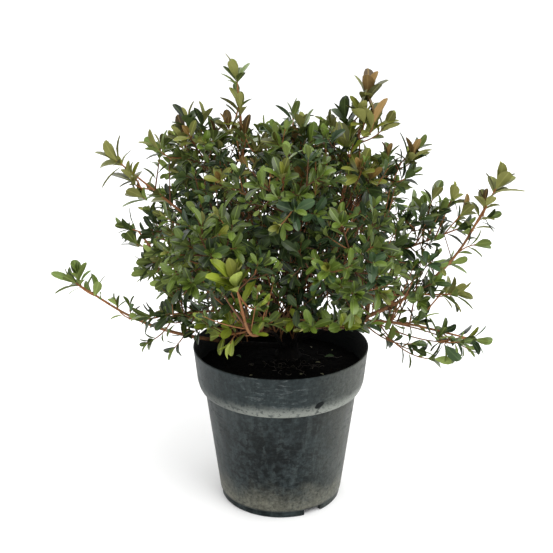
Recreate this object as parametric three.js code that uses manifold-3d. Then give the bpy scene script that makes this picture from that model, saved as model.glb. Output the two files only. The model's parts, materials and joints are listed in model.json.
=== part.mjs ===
// A potted azalea: a small evergreen shrub with a short trunk, tapering boughs and masses of
// leafy shoots, standing in a round plastic nursery pot that is filled with compost.
// Millimetres, +Z up. The origin is the centre of the pot's underside, the front is -Y.
import * as THREE from "three";
import { mergeVertices } from "three/addons/utils/BufferGeometryUtils.js";
import Module from "manifold-3d";

const wasm = await Module();
wasm.setup();

// ---------------------------------------------------------------- driving dimensions
const clearance = 0.3; // between two pieces that meet
const degree = Math.PI / 180;
const slivers = [0.05, 0.02, 0.1, 0.01, 0.2]; // fused edges shorter than the first that serves merge
const seed = 13; // of the chances by which shoots and leaves differ
const goldenAngle = 137.5; // degrees from one leaf or shoot to the next round its stem

const pot = {
  height: 176,
  rimRadius: 95,
  collarBaseRadius: 91, // the collar is the wide band under the rim
  collarBaseHeight: 139,
  ledgeRadius: 88, // the collar's rounded lower edge
  ledgeHeight: 130,
  wallTopRadius: 83.4,
  wallFootRadius: 68.3,
  wallFootHeight: 8.5,
  footRadius: 66.5, // the ring that the pot stands on
  footWidth: 5,
  footHeight: 7,
  padRadius: 20, // the flat pad in the middle of the underside
  wall: 1.5,
  floor: 2.2,
  sides: 44,
  notches: 3,
  notchWidth: 21,
  notchDepth: 6.7,
  firstNotch: -58.5, // degrees
  drainHoles: 4,
  drainRadius: 5,
  drainCircle: 42,
  drainSides: 8,
};

const compost = {
  height: 152, // 24 below the rim
  crownRadius: 34, // the flat middle, round the trunk
  edgeDrop: 3,
};

const trunk = {
  x: 8,
  y: 25,
  leanX: 1.5, // how far the head stands off its foot
  leanY: -2,
  height: 31,
  boughOffset: 5.2, // how far a bough starts from the trunk's middle
  sides: 14,
  keepOut: 23, // the radius round its middle that leaves and twigs keep out of
  profile: [
    // radius, height above the cut
    [16, 0],
    [12.4, 4.5],
    [10.6, 11],
    [10.4, 19],
    [9.6, 25],
    [6, 30],
  ],
};

const bough = {
  baseRadius: 3.1,
  forkRadius: 2.5, // where it leaves another bough
  tipRadius: 1.9,
  sides: 5,
  steps: 5,
  leaving: 0.36, // how long it keeps its first direction, as a share of its reach
  arriving: 0.34, // and how long it runs in its last
  measured: 24, // steps in which its distance to a leaf is measured
};
const stem = { radius: 1.9, tipRadius: 1.1 };
const ball = { tip: 0.97, entry: 0.78 }; // where a stem leaves and enters it, as shares of the reach
const shoot = {
  radius: 1.4,
  tipRadius: 1,
  sides: 4,
  perReach: 0.076, // how many there are to a millimetre of reach
  first: 0.06, // where on the stem the lowest may stand
  range: 0.74, // and how much of the stem they share
  spread: 50, // degrees from the stem, and how much more the lowest may have
  moreSpread: 34,
  turnSpan: 40,
  shortest: 9,
  longest: 1.15, // as a share of the reach
  bend: 0.55, // where it turns up
  run: 0.96, // how far out its tip is
  lift: 0.22, // how far its tip rises, as a share of its length
  bendLength: 36, // the least length that has a ring of its own in the bend
  bendRing: 0.45,
};
const whorl = { count: 2, thickness: 2, pitch: 14, tipSlope: 34, nextSlope: 66, slopeSpan: 12, lowest: 0.5 };
const leaf = {
  length: 40,
  width: 20,
  widest: 0.58,
  droop: 2.5,
  shortest: 12,
  leastShare: 0.88, // of its length that chance leaves it
  shareSpan: 0.24,
  besideStem: 0.8, // how much of a leaf stands beyond the end of its stem
  besideShoot: 0.5,
};
const leafScales = [1, 0.82, 0.66, 0.5]; // tried in turn until the leaf fits its space
const midrib = [0.35, 0.55, 0.75]; // where a leaf's distances are measured
const spaceMargin = 0.25; // kept by each mass to the planes that part it from its neighbours
const limbMargin = { twig: 0.8, leaf: 3 };
const crowding = 5; // the least distance between leaves of different shoots

// The crown's outline as an eye in front of it sees it, in the plane through its middle, from its
// lower right upwards and round. Only the ends of the masses' leading shoots stand out of it.
const outline = {
  eye: [-5, -1005, 596],
  leadFree: 72, // leaves this near a leading shoot's end may stand out
  corners: [
    // distance across, height
    [186, 226],
    [184, 324],
    [132, 342],
    [134, 396],
    [96, 430],
    [20, 426],
    [-34, 421],
    [-100, 430],
    [-134, 400],
    [-122, 370],
    [-152, 332],
    [-156, 268],
    [-142, 206],
    [-70, 178],
    [54, 176],
    [172, 196],
  ],
};

// Each mass of foliage fills a ball of its own reach and is carried by a bough of its own name.
// from and at: the limb that bough leaves and how far along it; leave: its slope there, in
// degrees; tip: the end of the mass's leading shoot; heading and lift: the compass angle and the
// slope at which that shoot runs through the ball.
const masses = [
  { name: "left", from: "trunk", at: 0.62, leave: 36,
    tip: [-176, 0, 312], heading: 184, lift: 20, reach: 64 },
  { name: "low_left", from: "trunk", at: 0.34, leave: 8,
    tip: [-236, -8, 262], heading: 183, lift: 36, reach: 38 },
  { name: "low_left_inner", from: "low_left", at: 0.3, leave: 16,
    tip: [-156, -40, 222], heading: 192, lift: 0, reach: 56 },
  { name: "far_right", from: "trunk", at: 0.62, leave: 18,
    tip: [234, 0, 374], heading: 0, lift: 64, reach: 48 },
  { name: "low_right", from: "far_right", at: 0.3, leave: 4,
    tip: [230, -2, 176], heading: -2, lift: -14, reach: 42 },
  { name: "lower_right", from: "far_right", at: 0.36, leave: 8,
    tip: [206, -8, 236], heading: -4, lift: 2, reach: 62 },
  { name: "right", from: "far_right", at: 0.5, leave: 46,
    tip: [208, 8, 312], heading: 0, lift: 22, reach: 68 },
  { name: "front_low_left", from: "trunk", at: 0.32, leave: 30,
    tip: [-84, -112, 228], heading: 228, lift: 12, reach: 56 },
  { name: "front_low_right", from: "trunk", at: 0.34, leave: 36,
    tip: [70, -104, 238], heading: -62, lift: 20, reach: 58 },
  { name: "back_low_left", from: "trunk", at: 0.36, leave: 26,
    tip: [-132, 144, 232], heading: 140, lift: 10, reach: 70 },
  { name: "back_low_right", from: "trunk", at: 0.38, leave: 26,
    tip: [142, 146, 230], heading: 42, lift: 10, reach: 70 },
  { name: "front_left", from: "trunk", at: 0.72, leave: 44,
    tip: [-100, -112, 330], heading: 220, lift: 36, reach: 70 },
  { name: "front_shoot", from: "front_low_left", at: 0.9, leave: 14,
    tip: [-48, -142, 322], heading: 248, lift: 66, reach: 48 },
  { name: "front_right", from: "trunk", at: 0.74, leave: 44,
    tip: [100, -112, 330], heading: -44, lift: 36, reach: 72 },
  { name: "back_left", from: "trunk", at: 0.7, leave: 44,
    tip: [-124, 148, 330], heading: 135, lift: 34, reach: 74 },
  { name: "back_right", from: "trunk", at: 0.72, leave: 44,
    tip: [140, 148, 326], heading: 45, lift: 32, reach: 74 },
  { name: "top_left", from: "trunk", at: 0.94, leave: 62,
    tip: [-108, 8, 420], heading: 188, lift: 56, reach: 68 },
  { name: "upper_left", from: "top_left", at: 0.3, leave: 36,
    tip: [-184, 4, 390], heading: 180, lift: 40, reach: 62 },
  { name: "top_lead", from: "top_left", at: 0.4, leave: 72,
    tip: [-46, 10, 481], heading: 180, lift: 86, reach: 60 },
  { name: "top_right", from: "trunk", at: 0.94, leave: 64,
    tip: [92, 8, 466], heading: -10, lift: 78, reach: 68 },
  { name: "upper_right", from: "top_right", at: 0.36, leave: 44,
    tip: [150, 12, 400], heading: 0, lift: 46, reach: 64 },
  { name: "front_centre", from: "trunk", at: 0.94, leave: 62,
    tip: [0, -92, 396], heading: -94, lift: 56, reach: 68 },
  { name: "top_centre", from: "front_centre", at: 0.36, leave: 76,
    tip: [22, 0, 432], heading: -60, lift: 84, reach: 62 },
  { name: "back_centre", from: "trunk", at: 0.92, leave: 58,
    tip: [10, 168, 368], heading: 90, lift: 40, reach: 72 },
  { name: "back_top", from: "back_centre", at: 0.36, leave: 70,
    tip: [14, 84, 428], heading: 84, lift: 70, reach: 68 },
  { name: "inner", from: "front_right", at: 0.3, leave: 60,
    tip: [52, -34, 318], heading: -20, lift: 64, reach: 54 },
];

// ---------------------------------------------------------------- materials
const finish = (color, roughness, metalness = 0) =>
  new THREE.MeshStandardMaterial({ color, roughness, metalness });
const potPlastic = finish(0x39434a, 0.6);
const compostFinish = finish(0x0d0b0a, 1);
const bark = finish(0x4c3428, 0.9);
const youngBark = finish(0x7a4a34, 0.8);
const foliage = finish(0x3f5a2c, 0.55);
const brightFoliage = finish(0x6d8c2e, 0.5);

// ---------------------------------------------------------------- solids
/** The closed solid inside a geometry, its seams and its points closer than weld merged. */
function solidOf(geometry, weld = 0.001) {
  const bare = geometry.clone();
  bare.deleteAttribute("normal");
  bare.deleteAttribute("uv");
  const merged = mergeVertices(bare, weld);
  return new wasm.Manifold(
    new wasm.Mesh({
      numProp: 3,
      vertProperties: new Float32Array(merged.attributes.position.array),
      triVerts: new Uint32Array(merged.index.array),
    }),
  );
}

/** Whether every edge of a solid lies between just two faces. */
function isSound(solid) {
  const { vertProperties, triVerts } = solid.getMesh();
  const place = (corner) =>
    [0, 1, 2].map((axis) => vertProperties[corner * 3 + axis].toFixed(4)).join();
  const faces = new Map();
  for (let i = 0; i < triVerts.length; i += 3)
    for (let side = 0; side < 3; side++) {
      const ends = [place(triVerts[i + side]), place(triVerts[i + ((side + 1) % 3)])];
      const edge = ends.sort().join(" to ");
      faces.set(edge, (faces.get(edge) ?? 0) + 1);
    }
  return [...faces.values()].every((count) => count === 2);
}

/** The largest body of a solid: slivers are merged, scraps dropped and sealed hollows filled. */
function wholeBody(solid) {
  for (const sliver of slivers) {
    const tidied = meshOf("", solid.simplify(sliver), potPlastic);
    const bodies = solidOf(tidied.geometry, sliver / 2).decompose();
    bodies.sort((a, b) => b.volume() - a.volume());
    if (isSound(bodies[0])) return bodies[0];
  }
  throw new Error("a piece has an edge between more than two faces");
}

/** A named mesh with the shape of a solid. */
function meshOf(name, solid, material) {
  const { vertProperties, triVerts } = solid.getMesh();
  const geometry = new THREE.BufferGeometry();
  geometry.setAttribute("position", new THREE.BufferAttribute(new Float32Array(vertProperties), 3));
  geometry.setIndex(new THREE.BufferAttribute(new Uint32Array(triVerts), 1));
  geometry.computeVertexNormals();
  const mesh = new THREE.Mesh(geometry, material);
  mesh.name = name;
  return mesh;
}

/** A solid turned about the Z axis from a profile of [radius, height] points. */
function turned(profile, sides) {
  const points = profile.map(([radius, height]) => new THREE.Vector2(radius, height));
  return solidOf(new THREE.LatheGeometry(points, sides).rotateX(Math.PI / 2));
}

/** A round limb that tapers along a curve, with a flat cut at each end. */
function limbSolid(curve, startRadius, endRadius, sides, steps) {
  const geometry = new THREE.CylinderGeometry(endRadius, startRadius, 1, sides, steps);
  const { normals, binormals } = curve.computeFrenetFrames(steps, false);
  const position = geometry.attributes.position;
  const vertex = new THREE.Vector3();
  for (let i = 0; i < position.count; i++) {
    vertex.fromBufferAttribute(position, i);
    const step = Math.round((vertex.y + 0.5) * steps);
    const point = curve.getPointAt(step / steps);
    point.addScaledVector(binormals[step], vertex.x);
    point.addScaledVector(normals[step], vertex.z);
    position.setXYZ(i, point.x, point.y, point.z);
  }
  return solidOf(geometry);
}

// ---------------------------------------------------------------- directions and chance
/** The unit direction with a compass angle from +X and a slope above the horizon. */
function aim(azimuth, slope) {
  const flat = Math.cos(slope * degree);
  return new THREE.Vector3(
    Math.cos(azimuth * degree) * flat,
    Math.sin(azimuth * degree) * flat,
    Math.sin(slope * degree),
  );
}

/** A direction that leaves an axis at an angle, turned round it from the upper side. */
function offAxis(axis, angle, turn) {
  const side = new THREE.Vector3(0, 0, 1).cross(axis);
  if (side.length() < 0.05) side.set(1, 0, 0);
  side.normalize();
  const upper = axis.clone().cross(side);
  return axis
    .clone()
    .multiplyScalar(Math.cos(angle * degree))
    .addScaledVector(upper, Math.sin(angle * degree) * Math.cos(turn * degree))
    .addScaledVector(side, Math.sin(angle * degree) * Math.sin(turn * degree));
}

/** A seeded stream of numbers from 0 to 1, the same for the same pair of seeds. */
function chanceFrom(first, second) {
  const modulus = 2147483647;
  const multiplier = 16807;
  let state = ((first + 1) * 7919 + (second + 1) * 104729 + seed * 15485863) % modulus;
  const next = () => {
    state = (state * multiplier) % modulus;
    return state / modulus;
  };
  next();
  next();
  return next;
}

// ---------------------------------------------------------------- pot and compost
/** The radius of the pot's inner face at a height. */
function potInside(height) {
  const outline = [
    [pot.wallFootHeight, pot.wallFootRadius],
    [pot.ledgeHeight - 1, pot.wallTopRadius],
    [pot.ledgeHeight + pot.wall, pot.ledgeRadius],
    [pot.collarBaseHeight, pot.collarBaseRadius],
    [pot.height, pot.rimRadius],
  ];
  const upper = outline.findIndex(([z]) => z >= height);
  const [z0, r0] = outline[Math.max(0, upper - 1)];
  const [z1, r1] = outline[upper];
  return r0 + ((r1 - r0) * (height - z0)) / (z1 - z0 || 1) - pot.wall;
}

const floorTop = pot.footHeight + pot.floor;

function potSolid() {
  const profile = [
    [0, 0],
    [pot.padRadius, 0],
    [pot.padRadius, pot.footHeight],
    [pot.footRadius - pot.footWidth, pot.footHeight],
    [pot.footRadius - pot.footWidth, 0],
    [pot.footRadius, 0],
    [pot.footRadius, pot.footHeight],
    [pot.wallFootRadius, pot.wallFootHeight],
    [pot.wallTopRadius, pot.ledgeHeight - 1],
    [pot.ledgeRadius - 0.8, pot.ledgeHeight],
    [pot.ledgeRadius + 1.4, pot.ledgeHeight + 3.5],
    [pot.collarBaseRadius, pot.collarBaseHeight],
    [pot.rimRadius, pot.height],
    [pot.rimRadius - pot.wall, pot.height],
    [potInside(pot.collarBaseHeight), pot.collarBaseHeight],
    [potInside(pot.ledgeHeight + pot.wall), pot.ledgeHeight + pot.wall],
    [potInside(pot.ledgeHeight - 1), pot.ledgeHeight - 1],
    [potInside(floorTop), floorTop],
    [0, floorTop],
  ];
  let solid = turned(profile, pot.sides);
  for (let i = 0; i < pot.notches; i++) {
    const notch = new THREE.BoxGeometry(pot.footWidth * 5, pot.notchWidth, pot.notchDepth * 2);
    notch.translate(pot.footRadius, 0, 0);
    notch.rotateZ((pot.firstNotch + (360 / pot.notches) * i) * degree);
    solid = solid.subtract(solidOf(notch));
  }
  for (let i = 0; i < pot.drainHoles; i++) {
    const sizes = [pot.drainRadius, pot.drainRadius, pot.height / 4, pot.drainSides];
    const hole = new THREE.CylinderGeometry(...sizes);
    hole.rotateX(Math.PI / 2).translate(pot.drainCircle, 0, 0);
    hole.rotateZ((pot.firstNotch + (360 / pot.drainHoles) * i) * degree);
    solid = solid.subtract(solidOf(hole));
  }
  return wholeBody(solid);
}

function compostSolid() {
  const inside = (height) => potInside(height) - clearance;
  const edge = compost.height - compost.edgeDrop;
  return turned(
    [
      [0, floorTop + clearance],
      [inside(floorTop), floorTop + clearance],
      [inside(pot.ledgeHeight - 1), pot.ledgeHeight - 1],
      [inside(pot.ledgeHeight + pot.wall + 1), pot.ledgeHeight + pot.wall + 1],
      [inside(pot.collarBaseHeight), pot.collarBaseHeight],
      [inside(edge), edge],
      [compost.crownRadius, compost.height],
      [0, compost.height],
    ],
    pot.sides,
  );
}

// ---------------------------------------------------------------- trunk and boughs
const trunkFoot = new THREE.Vector3(trunk.x, trunk.y, compost.height + clearance);

/** A point on the trunk's leaning axis, from 0 at the cut to 1 at the head. */
function trunkPoint(share) {
  return new THREE.Vector3(trunk.leanX, trunk.leanY, trunk.height)
    .multiplyScalar(share)
    .add(trunkFoot);
}

/** The trunk, larger all round by extra. */
function trunkSolid(extra = 0) {
  const profile = [[0, -extra]];
  for (const [radius, height] of trunk.profile) {
    const level = height === 0 ? -extra : height;
    profile.push([radius + extra, level]);
  }
  profile.push([0, trunk.height + extra]);
  const solid = turned(profile, trunk.sides);
  return solid.warp((vertex) => {
    const foot = trunkPoint(vertex[2] / trunk.height);
    [vertex[0], vertex[1], vertex[2]] = [vertex[0] + foot.x, vertex[1] + foot.y, foot.z];
  });
}

const limbs = new Map(); // name: its curve and its radii

/** Where a mass's bough stops and its own stem starts, and the way both run there. */
function entryOf(mass) {
  const along = aim(mass.heading, mass.lift);
  const point = mass.middle.clone().addScaledVector(along, -ball.entry * mass.reach);
  return { point, along };
}

for (const mass of masses) {
  const along = aim(mass.heading, mass.lift);
  mass.end = new THREE.Vector3().fromArray(mass.tip);
  mass.middle = mass.end.clone().addScaledVector(along, -ball.tip * mass.reach);
}

for (const mass of masses) {
  const entry = entryOf(mass);
  const parent = limbs.get(mass.from);
  const start = parent ? parent.curve.getPoint(mass.at) : trunkPoint(mass.at);
  const reach = start.distanceTo(entry.point);
  const across = entry.point.clone().sub(start);
  const azimuth = Math.atan2(across.y, across.x) / degree;
  if (!parent) start.addScaledVector(aim(azimuth, 0), trunk.boughOffset);
  const curve = new THREE.CubicBezierCurve3(
    start,
    start.clone().addScaledVector(aim(azimuth, mass.leave), reach * bough.leaving),
    entry.point.clone().addScaledVector(entry.along, -reach * bough.arriving),
    entry.point,
  );
  limbs.set(mass.name, {
    curve,
    startRadius: parent ? bough.forkRadius : bough.baseRadius,
    endRadius: bough.tipRadius,
    points: curve.getPoints(bough.measured),
  });
}

/** A bough, cut back where it leaves the limb that bears it and where it runs beside another. */
function boughSolid(mass) {
  const shape = ({ curve, startRadius, endRadius }, extra) =>
    limbSolid(curve, startRadius + extra, endRadius + extra, bough.sides, bough.steps);
  let solid = shape(limbs.get(mass.name), 0);
  if (mass.from === "trunk") solid = solid.subtract(trunkSolid(clearance));
  for (const [name, limb] of limbs) {
    if (name === mass.name) break;
    const neighbour = shape(limb, clearance);
    if (!solid.intersect(neighbour).isEmpty()) solid = solid.subtract(neighbour);
  }
  return wholeBody(solid);
}

// ---------------------------------------------------------------- the rule of growth
/** Whether a point lies in a mass's own space: its ball, up to the planes between neighbours. */
function inSpace(point, mass) {
  const power = (m) => point.distanceToSquared(m.middle) - m.reach ** 2;
  const own = power(mass);
  if (own > 0) return false;
  return masses.every((other) => {
    if (other === mass) return true;
    const apart = 2 * other.middle.distanceTo(mass.middle);
    return (power(other) - own) / apart > spaceMargin;
  });
}

/** Whether a point lies within the crown's outline, as the eye in front sees it. */
function inOutline(point) {
  const [eyeX, eyeY, eyeZ] = outline.eye;
  const share = -eyeY / (point.y - eyeY);
  const across = eyeX + (point.x - eyeX) * share;
  const height = eyeZ + (point.z - eyeZ) * share;
  let inside = false;
  outline.corners.forEach(([x, z], i) => {
    const [nextX, nextZ] = outline.corners[(i + 1) % outline.corners.length];
    const level = z > height !== nextZ > height;
    if (level && across < x + ((nextX - x) * (height - z)) / (nextZ - z)) inside = !inside;
  });
  return inside;
}

const segment = new THREE.Line3();
const nearest = new THREE.Vector3();

/** Whether a point keeps a margin to every bough, to the trunk, the compost and the pot. */
function isClear(point, margin) {
  for (const { points, startRadius } of limbs.values())
    for (let i = 1; i < points.length; i++) {
      segment.set(points[i - 1], points[i]).closestPointToPoint(point, true, nearest);
      if (nearest.distanceTo(point) < startRadius + margin) return false;
    }
  if (point.distanceTo(trunkPoint(0.5)) < trunk.keepOut) return false;
  if (point.z > pot.height + margin) return true;
  const out = Math.hypot(point.x, point.y);
  if (out > pot.rimRadius + margin) return true;
  return out < potInside(pot.collarBaseHeight) - margin && point.z > compost.height + margin;
}

/** The distance from a point to the end of a mass's space or of the crown along a direction. */
function roomAlong(start, direction, mass) {
  const step = 1.5;
  const probe = start.clone();
  let room = 0;
  while (inSpace(probe, mass) && inOutline(probe) && room < 2 * mass.reach) {
    probe.addScaledVector(direction, step);
    room += step;
  }
  return room;
}

/** Whether a leaf with these corners keeps to its space, clear of limbs and of other leaves. */
function leafFits(root, corners, mass, taken) {
  const tip = corners[1];
  const probes = [...midrib.map((share) => root.clone().lerp(tip, share)), ...corners];
  return (
    corners.every((corner) => inSpace(corner, mass)) &&
    (inOutline(tip) || root.distanceTo(mass.end) < outline.leadFree) &&
    probes.every((probe) => isClear(probe, limbMargin.leaf)) &&
    probes.every((probe) => taken.every((other) => other.distanceTo(probe) > crowding))
  );
}

/** The left corner, tip and right corner of a leaf, or nothing where no size of it fits. */
function leafCorners(root, axis, outward, slope, mass, taken, chance) {
  const direction = axis
    .clone()
    .multiplyScalar(Math.cos(slope * degree))
    .addScaledVector(outward, Math.sin(slope * degree));
  const side = axis.clone().cross(outward);
  const share = leaf.leastShare + leaf.shareSpan * chance();
  for (const scale of leafScales) {
    const length = leaf.length * scale * share;
    const half = (leaf.width * scale * share) / 2;
    const widest = root.clone().addScaledVector(direction, length * leaf.widest);
    const tip = root.clone().addScaledVector(direction, length);
    tip.z -= leaf.droop * scale;
    const corners = [
      widest.clone().addScaledVector(side, -half),
      tip,
      widest.clone().addScaledVector(side, half),
    ];
    if (length > leaf.shortest && leafFits(root, corners, mass, taken)) return corners;
  }
  return undefined;
}

/**
 * A shoot: a thin limb along a curve with whorls of leaves that grow out of its last stretch.
 * Each leaf is drawn out of one side of the limb, so the shoot is a single closed surface.
 */
function shootSolid(curve, radii, mass, taken, chance) {
  const length = curve.getLength();
  const rings = length > shoot.bendLength ? [{ at: 0 }, { at: shoot.bendRing }] : [{ at: 0 }];
  for (let w = whorl.count - 1; w >= 0; w--) {
    const top = length - w * (whorl.pitch + whorl.thickness);
    if (top - whorl.thickness < whorl.lowest * length) continue;
    const slope = w === 0 ? whorl.tipSlope : whorl.nextSlope;
    rings.push({ at: (top - whorl.thickness) / length, slope, turn: w * 0.5 });
    rings.push({ at: top / length, turn: w * 0.5 });
  }
  const reference = new THREE.Vector3(0.31, 0.17, 0.93).cross(curve.getTangent(0)).normalize();
  const firstTurn = chance();
  for (const ring of rings) {
    ring.centre = curve.getPointAt(ring.at);
    ring.axis = curve.getTangentAt(ring.at);
    ring.across = reference.clone().projectOnPlane(ring.axis).normalize();
    ring.up = ring.axis.clone().cross(ring.across);
  }
  const outwardAt = (ring, k) => {
    const angle = ((k + firstTurn + (ring.turn ?? 0)) / shoot.sides) * 2 * Math.PI;
    const across = ring.across.clone().multiplyScalar(Math.cos(angle));
    return across.addScaledVector(ring.up, Math.sin(angle));
  };
  const points = [];
  const faces = [];
  for (const ring of rings) {
    const radius = radii[0] + (radii[1] - radii[0]) * ring.at;
    for (let k = 0; k < shoot.sides; k++)
      points.push(ring.centre.clone().addScaledVector(outwardAt(ring, k), radius));
  }
  const fresh = [];
  rings.slice(1).forEach((ring, r) => {
    const below = rings[r];
    for (let k = 0; k < shoot.sides; k++) {
      const next = (k + 1) % shoot.sides;
      const [a, b] = [r * shoot.sides + k, r * shoot.sides + next];
      const [c, d] = [b + shoot.sides, a + shoot.sides];
      const outward = outwardAt(below, k + 0.5);
      const slope = below.slope + whorl.slopeSpan * (2 * chance() - 1);
      const root = below.centre.clone().lerp(ring.centre, 0.5);
      const place = [root, below.axis, outward, slope];
      const corners = below.slope && leafCorners(...place, mass, taken, chance);
      if (corners) {
        const left = points.length;
        points.push(...corners);
        fresh.push(...corners, root.clone().lerp(corners[1], 0.5));
        const [tip, right] = [left + 1, left + 2];
        faces.push(d, left, tip, d, tip, c, c, tip, right);
        faces.push(a, tip, left, a, b, tip, b, right, tip);
        faces.push(a, left, d, b, c, right);
      } else {
        faces.push(a, b, c, a, c, d);
      }
    }
  });
  taken.push(...fresh);
  const last = (rings.length - 1) * shoot.sides;
  for (let k = 1; k < shoot.sides - 1; k++) {
    faces.push(0, k + 1, k);
    faces.push(last, last + k, last + k + 1);
  }
  const geometry = new THREE.BufferGeometry().setFromPoints(points);
  geometry.setIndex(faces);
  return solidOf(geometry);
}

/** A mass of foliage: its stem and the leafy shoots along it, grown together. */
function massSolid(mass, index) {
  const entry = entryOf(mass);
  const start = entry.point.clone().addScaledVector(entry.along, clearance);
  const lead = mass.end.clone().addScaledVector(entry.along, -leaf.besideStem * leaf.length);
  const stemCurve = new THREE.QuadraticBezierCurve3(start, mass.middle.clone(), lead);
  const taken = [];
  const stemRadii = [stem.radius, stem.tipRadius];
  const pieces = [shootSolid(stemCurve, stemRadii, mass, taken, chanceFrom(index, 0))];

  const shoots = Math.round(mass.reach * shoot.perReach);
  const longest = shoot.longest * mass.reach;
  for (let k = 0; k < shoots; k++) {
    const chance = chanceFrom(index, k + 1);
    const at = shoot.first + (shoot.range * (k + chance() / 2)) / shoots;
    const root = stemCurve.getPoint(at);
    const spread = shoot.spread + shoot.moreSpread * (1 - at) * chance();
    const turn = k * goldenAngle + shoot.turnSpan * chance();
    const direction = offAxis(stemCurve.getTangent(at), spread, turn);
    const room = Math.min(roomAlong(root, direction, mass), longest);
    const length = room - leaf.besideShoot * leaf.length;
    if (length < shoot.shortest) continue;
    const middle = root.clone().addScaledVector(direction, shoot.bend * length);
    const tip = root.clone().addScaledVector(direction, shoot.run * length);
    tip.z += shoot.lift * length * (1 - Math.abs(direction.z));
    const curve = new THREE.QuadraticBezierCurve3(root, middle, tip);
    const run = curve.getPoints(10).slice(1);
    if (!run.every((point) => inSpace(point, mass) && isClear(point, limbMargin.twig))) continue;
    const radii = [shoot.radius, shoot.tipRadius];
    pieces.push(shootSolid(curve, radii, mass, taken, chance));
  }
  return wholeBody(wasm.Manifold.union(pieces));
}

// ---------------------------------------------------------------- assembly
const azalea = new THREE.Group();
azalea.add(meshOf("pot", potSolid(), potPlastic));
azalea.add(meshOf("compost", compostSolid(), compostFinish));
azalea.add(meshOf("trunk", trunkSolid(), bark));
masses.forEach((mass, index) => {
  azalea.add(meshOf(`bough_${mass.name}`, boughSolid(mass), youngBark));
  const finishOfMass = mass.name.startsWith("front_") ? brightFoliage : foliage;
  azalea.add(meshOf(`foliage_${mass.name}`, massSolid(mass, index), finishOfMass));
});

export default azalea;
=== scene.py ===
"""A small evergreen azalea in a round plastic nursery pot, dressed for a close look.

Sizes are in millimetres unless a name says otherwise, and meshes are written in metres. +Z is up,
the front is -Y and the origin is the centre of the pot's underside.
"""
import json
import logging
import math
from collections.abc import Iterator
from contextlib import contextmanager
from dataclasses import dataclass, field
from enum import Enum

import bmesh
import bpy
import numpy as np
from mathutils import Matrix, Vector, noise

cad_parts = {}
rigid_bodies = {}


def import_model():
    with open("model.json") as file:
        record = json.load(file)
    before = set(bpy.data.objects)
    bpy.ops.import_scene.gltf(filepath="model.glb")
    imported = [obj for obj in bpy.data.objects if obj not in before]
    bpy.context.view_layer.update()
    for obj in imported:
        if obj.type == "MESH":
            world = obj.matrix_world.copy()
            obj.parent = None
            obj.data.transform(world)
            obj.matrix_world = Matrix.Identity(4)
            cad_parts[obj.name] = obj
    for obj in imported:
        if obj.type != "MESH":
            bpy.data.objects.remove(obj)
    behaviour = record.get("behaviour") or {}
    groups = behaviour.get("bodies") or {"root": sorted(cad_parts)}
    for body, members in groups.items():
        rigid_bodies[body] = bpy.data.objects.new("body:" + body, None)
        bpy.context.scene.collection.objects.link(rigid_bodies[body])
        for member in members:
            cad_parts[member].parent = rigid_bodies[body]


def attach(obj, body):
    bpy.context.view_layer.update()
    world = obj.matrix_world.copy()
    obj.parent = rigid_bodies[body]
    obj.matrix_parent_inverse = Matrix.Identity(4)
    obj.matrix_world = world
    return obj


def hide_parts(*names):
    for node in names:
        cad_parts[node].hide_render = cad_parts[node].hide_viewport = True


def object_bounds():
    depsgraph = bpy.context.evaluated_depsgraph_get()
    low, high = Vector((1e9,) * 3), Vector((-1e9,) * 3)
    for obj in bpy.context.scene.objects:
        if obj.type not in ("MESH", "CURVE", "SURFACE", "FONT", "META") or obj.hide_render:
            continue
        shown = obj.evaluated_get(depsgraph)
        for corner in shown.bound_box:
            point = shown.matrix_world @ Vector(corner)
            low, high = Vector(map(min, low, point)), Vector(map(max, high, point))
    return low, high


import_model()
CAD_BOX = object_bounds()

log = logging.getLogger("azalea")

MM = 0.001
GOLDEN = math.radians(137.5)  # from one leaf or shoot to the next round its stem
SEED = 24
UP = np.array([0.0, 0.0, 1.0])

Point = tuple[float, float, float]
Colour = tuple[float, float, float]
Array = np.ndarray
Chance = np.random.Generator
Material = bpy.types.Material
Node = bpy.types.Node
Piece = bpy.types.Object
Socket = bpy.types.NodeSocket


# ---------------------------------------------------------------- the plant's plan
@dataclass(frozen=True)
class Mass:
    """One mass of leafy shoots, and the bough of the same name that carries it.

    The bough leaves its parent limb at a share of its length and at a slope, and the mass's
    leading shoot runs through a ball of the mass's reach and ends at the tip.
    """

    name: str
    parent: str
    at: float
    leave: float
    tip: Point
    heading: float
    lift: float
    reach: float

    @property
    def along(self) -> Array:
        """The direction of the leading shoot."""
        return aim(self.heading, self.lift)

    @property
    def middle(self) -> Array:
        """The centre of the mass's ball."""
        return np.array(self.tip) - 0.97 * self.reach * self.along

    @property
    def entry(self) -> Array:
        """The point where the bough ends and the mass's own stem starts."""
        return self.middle - 0.78 * self.reach * self.along


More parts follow.
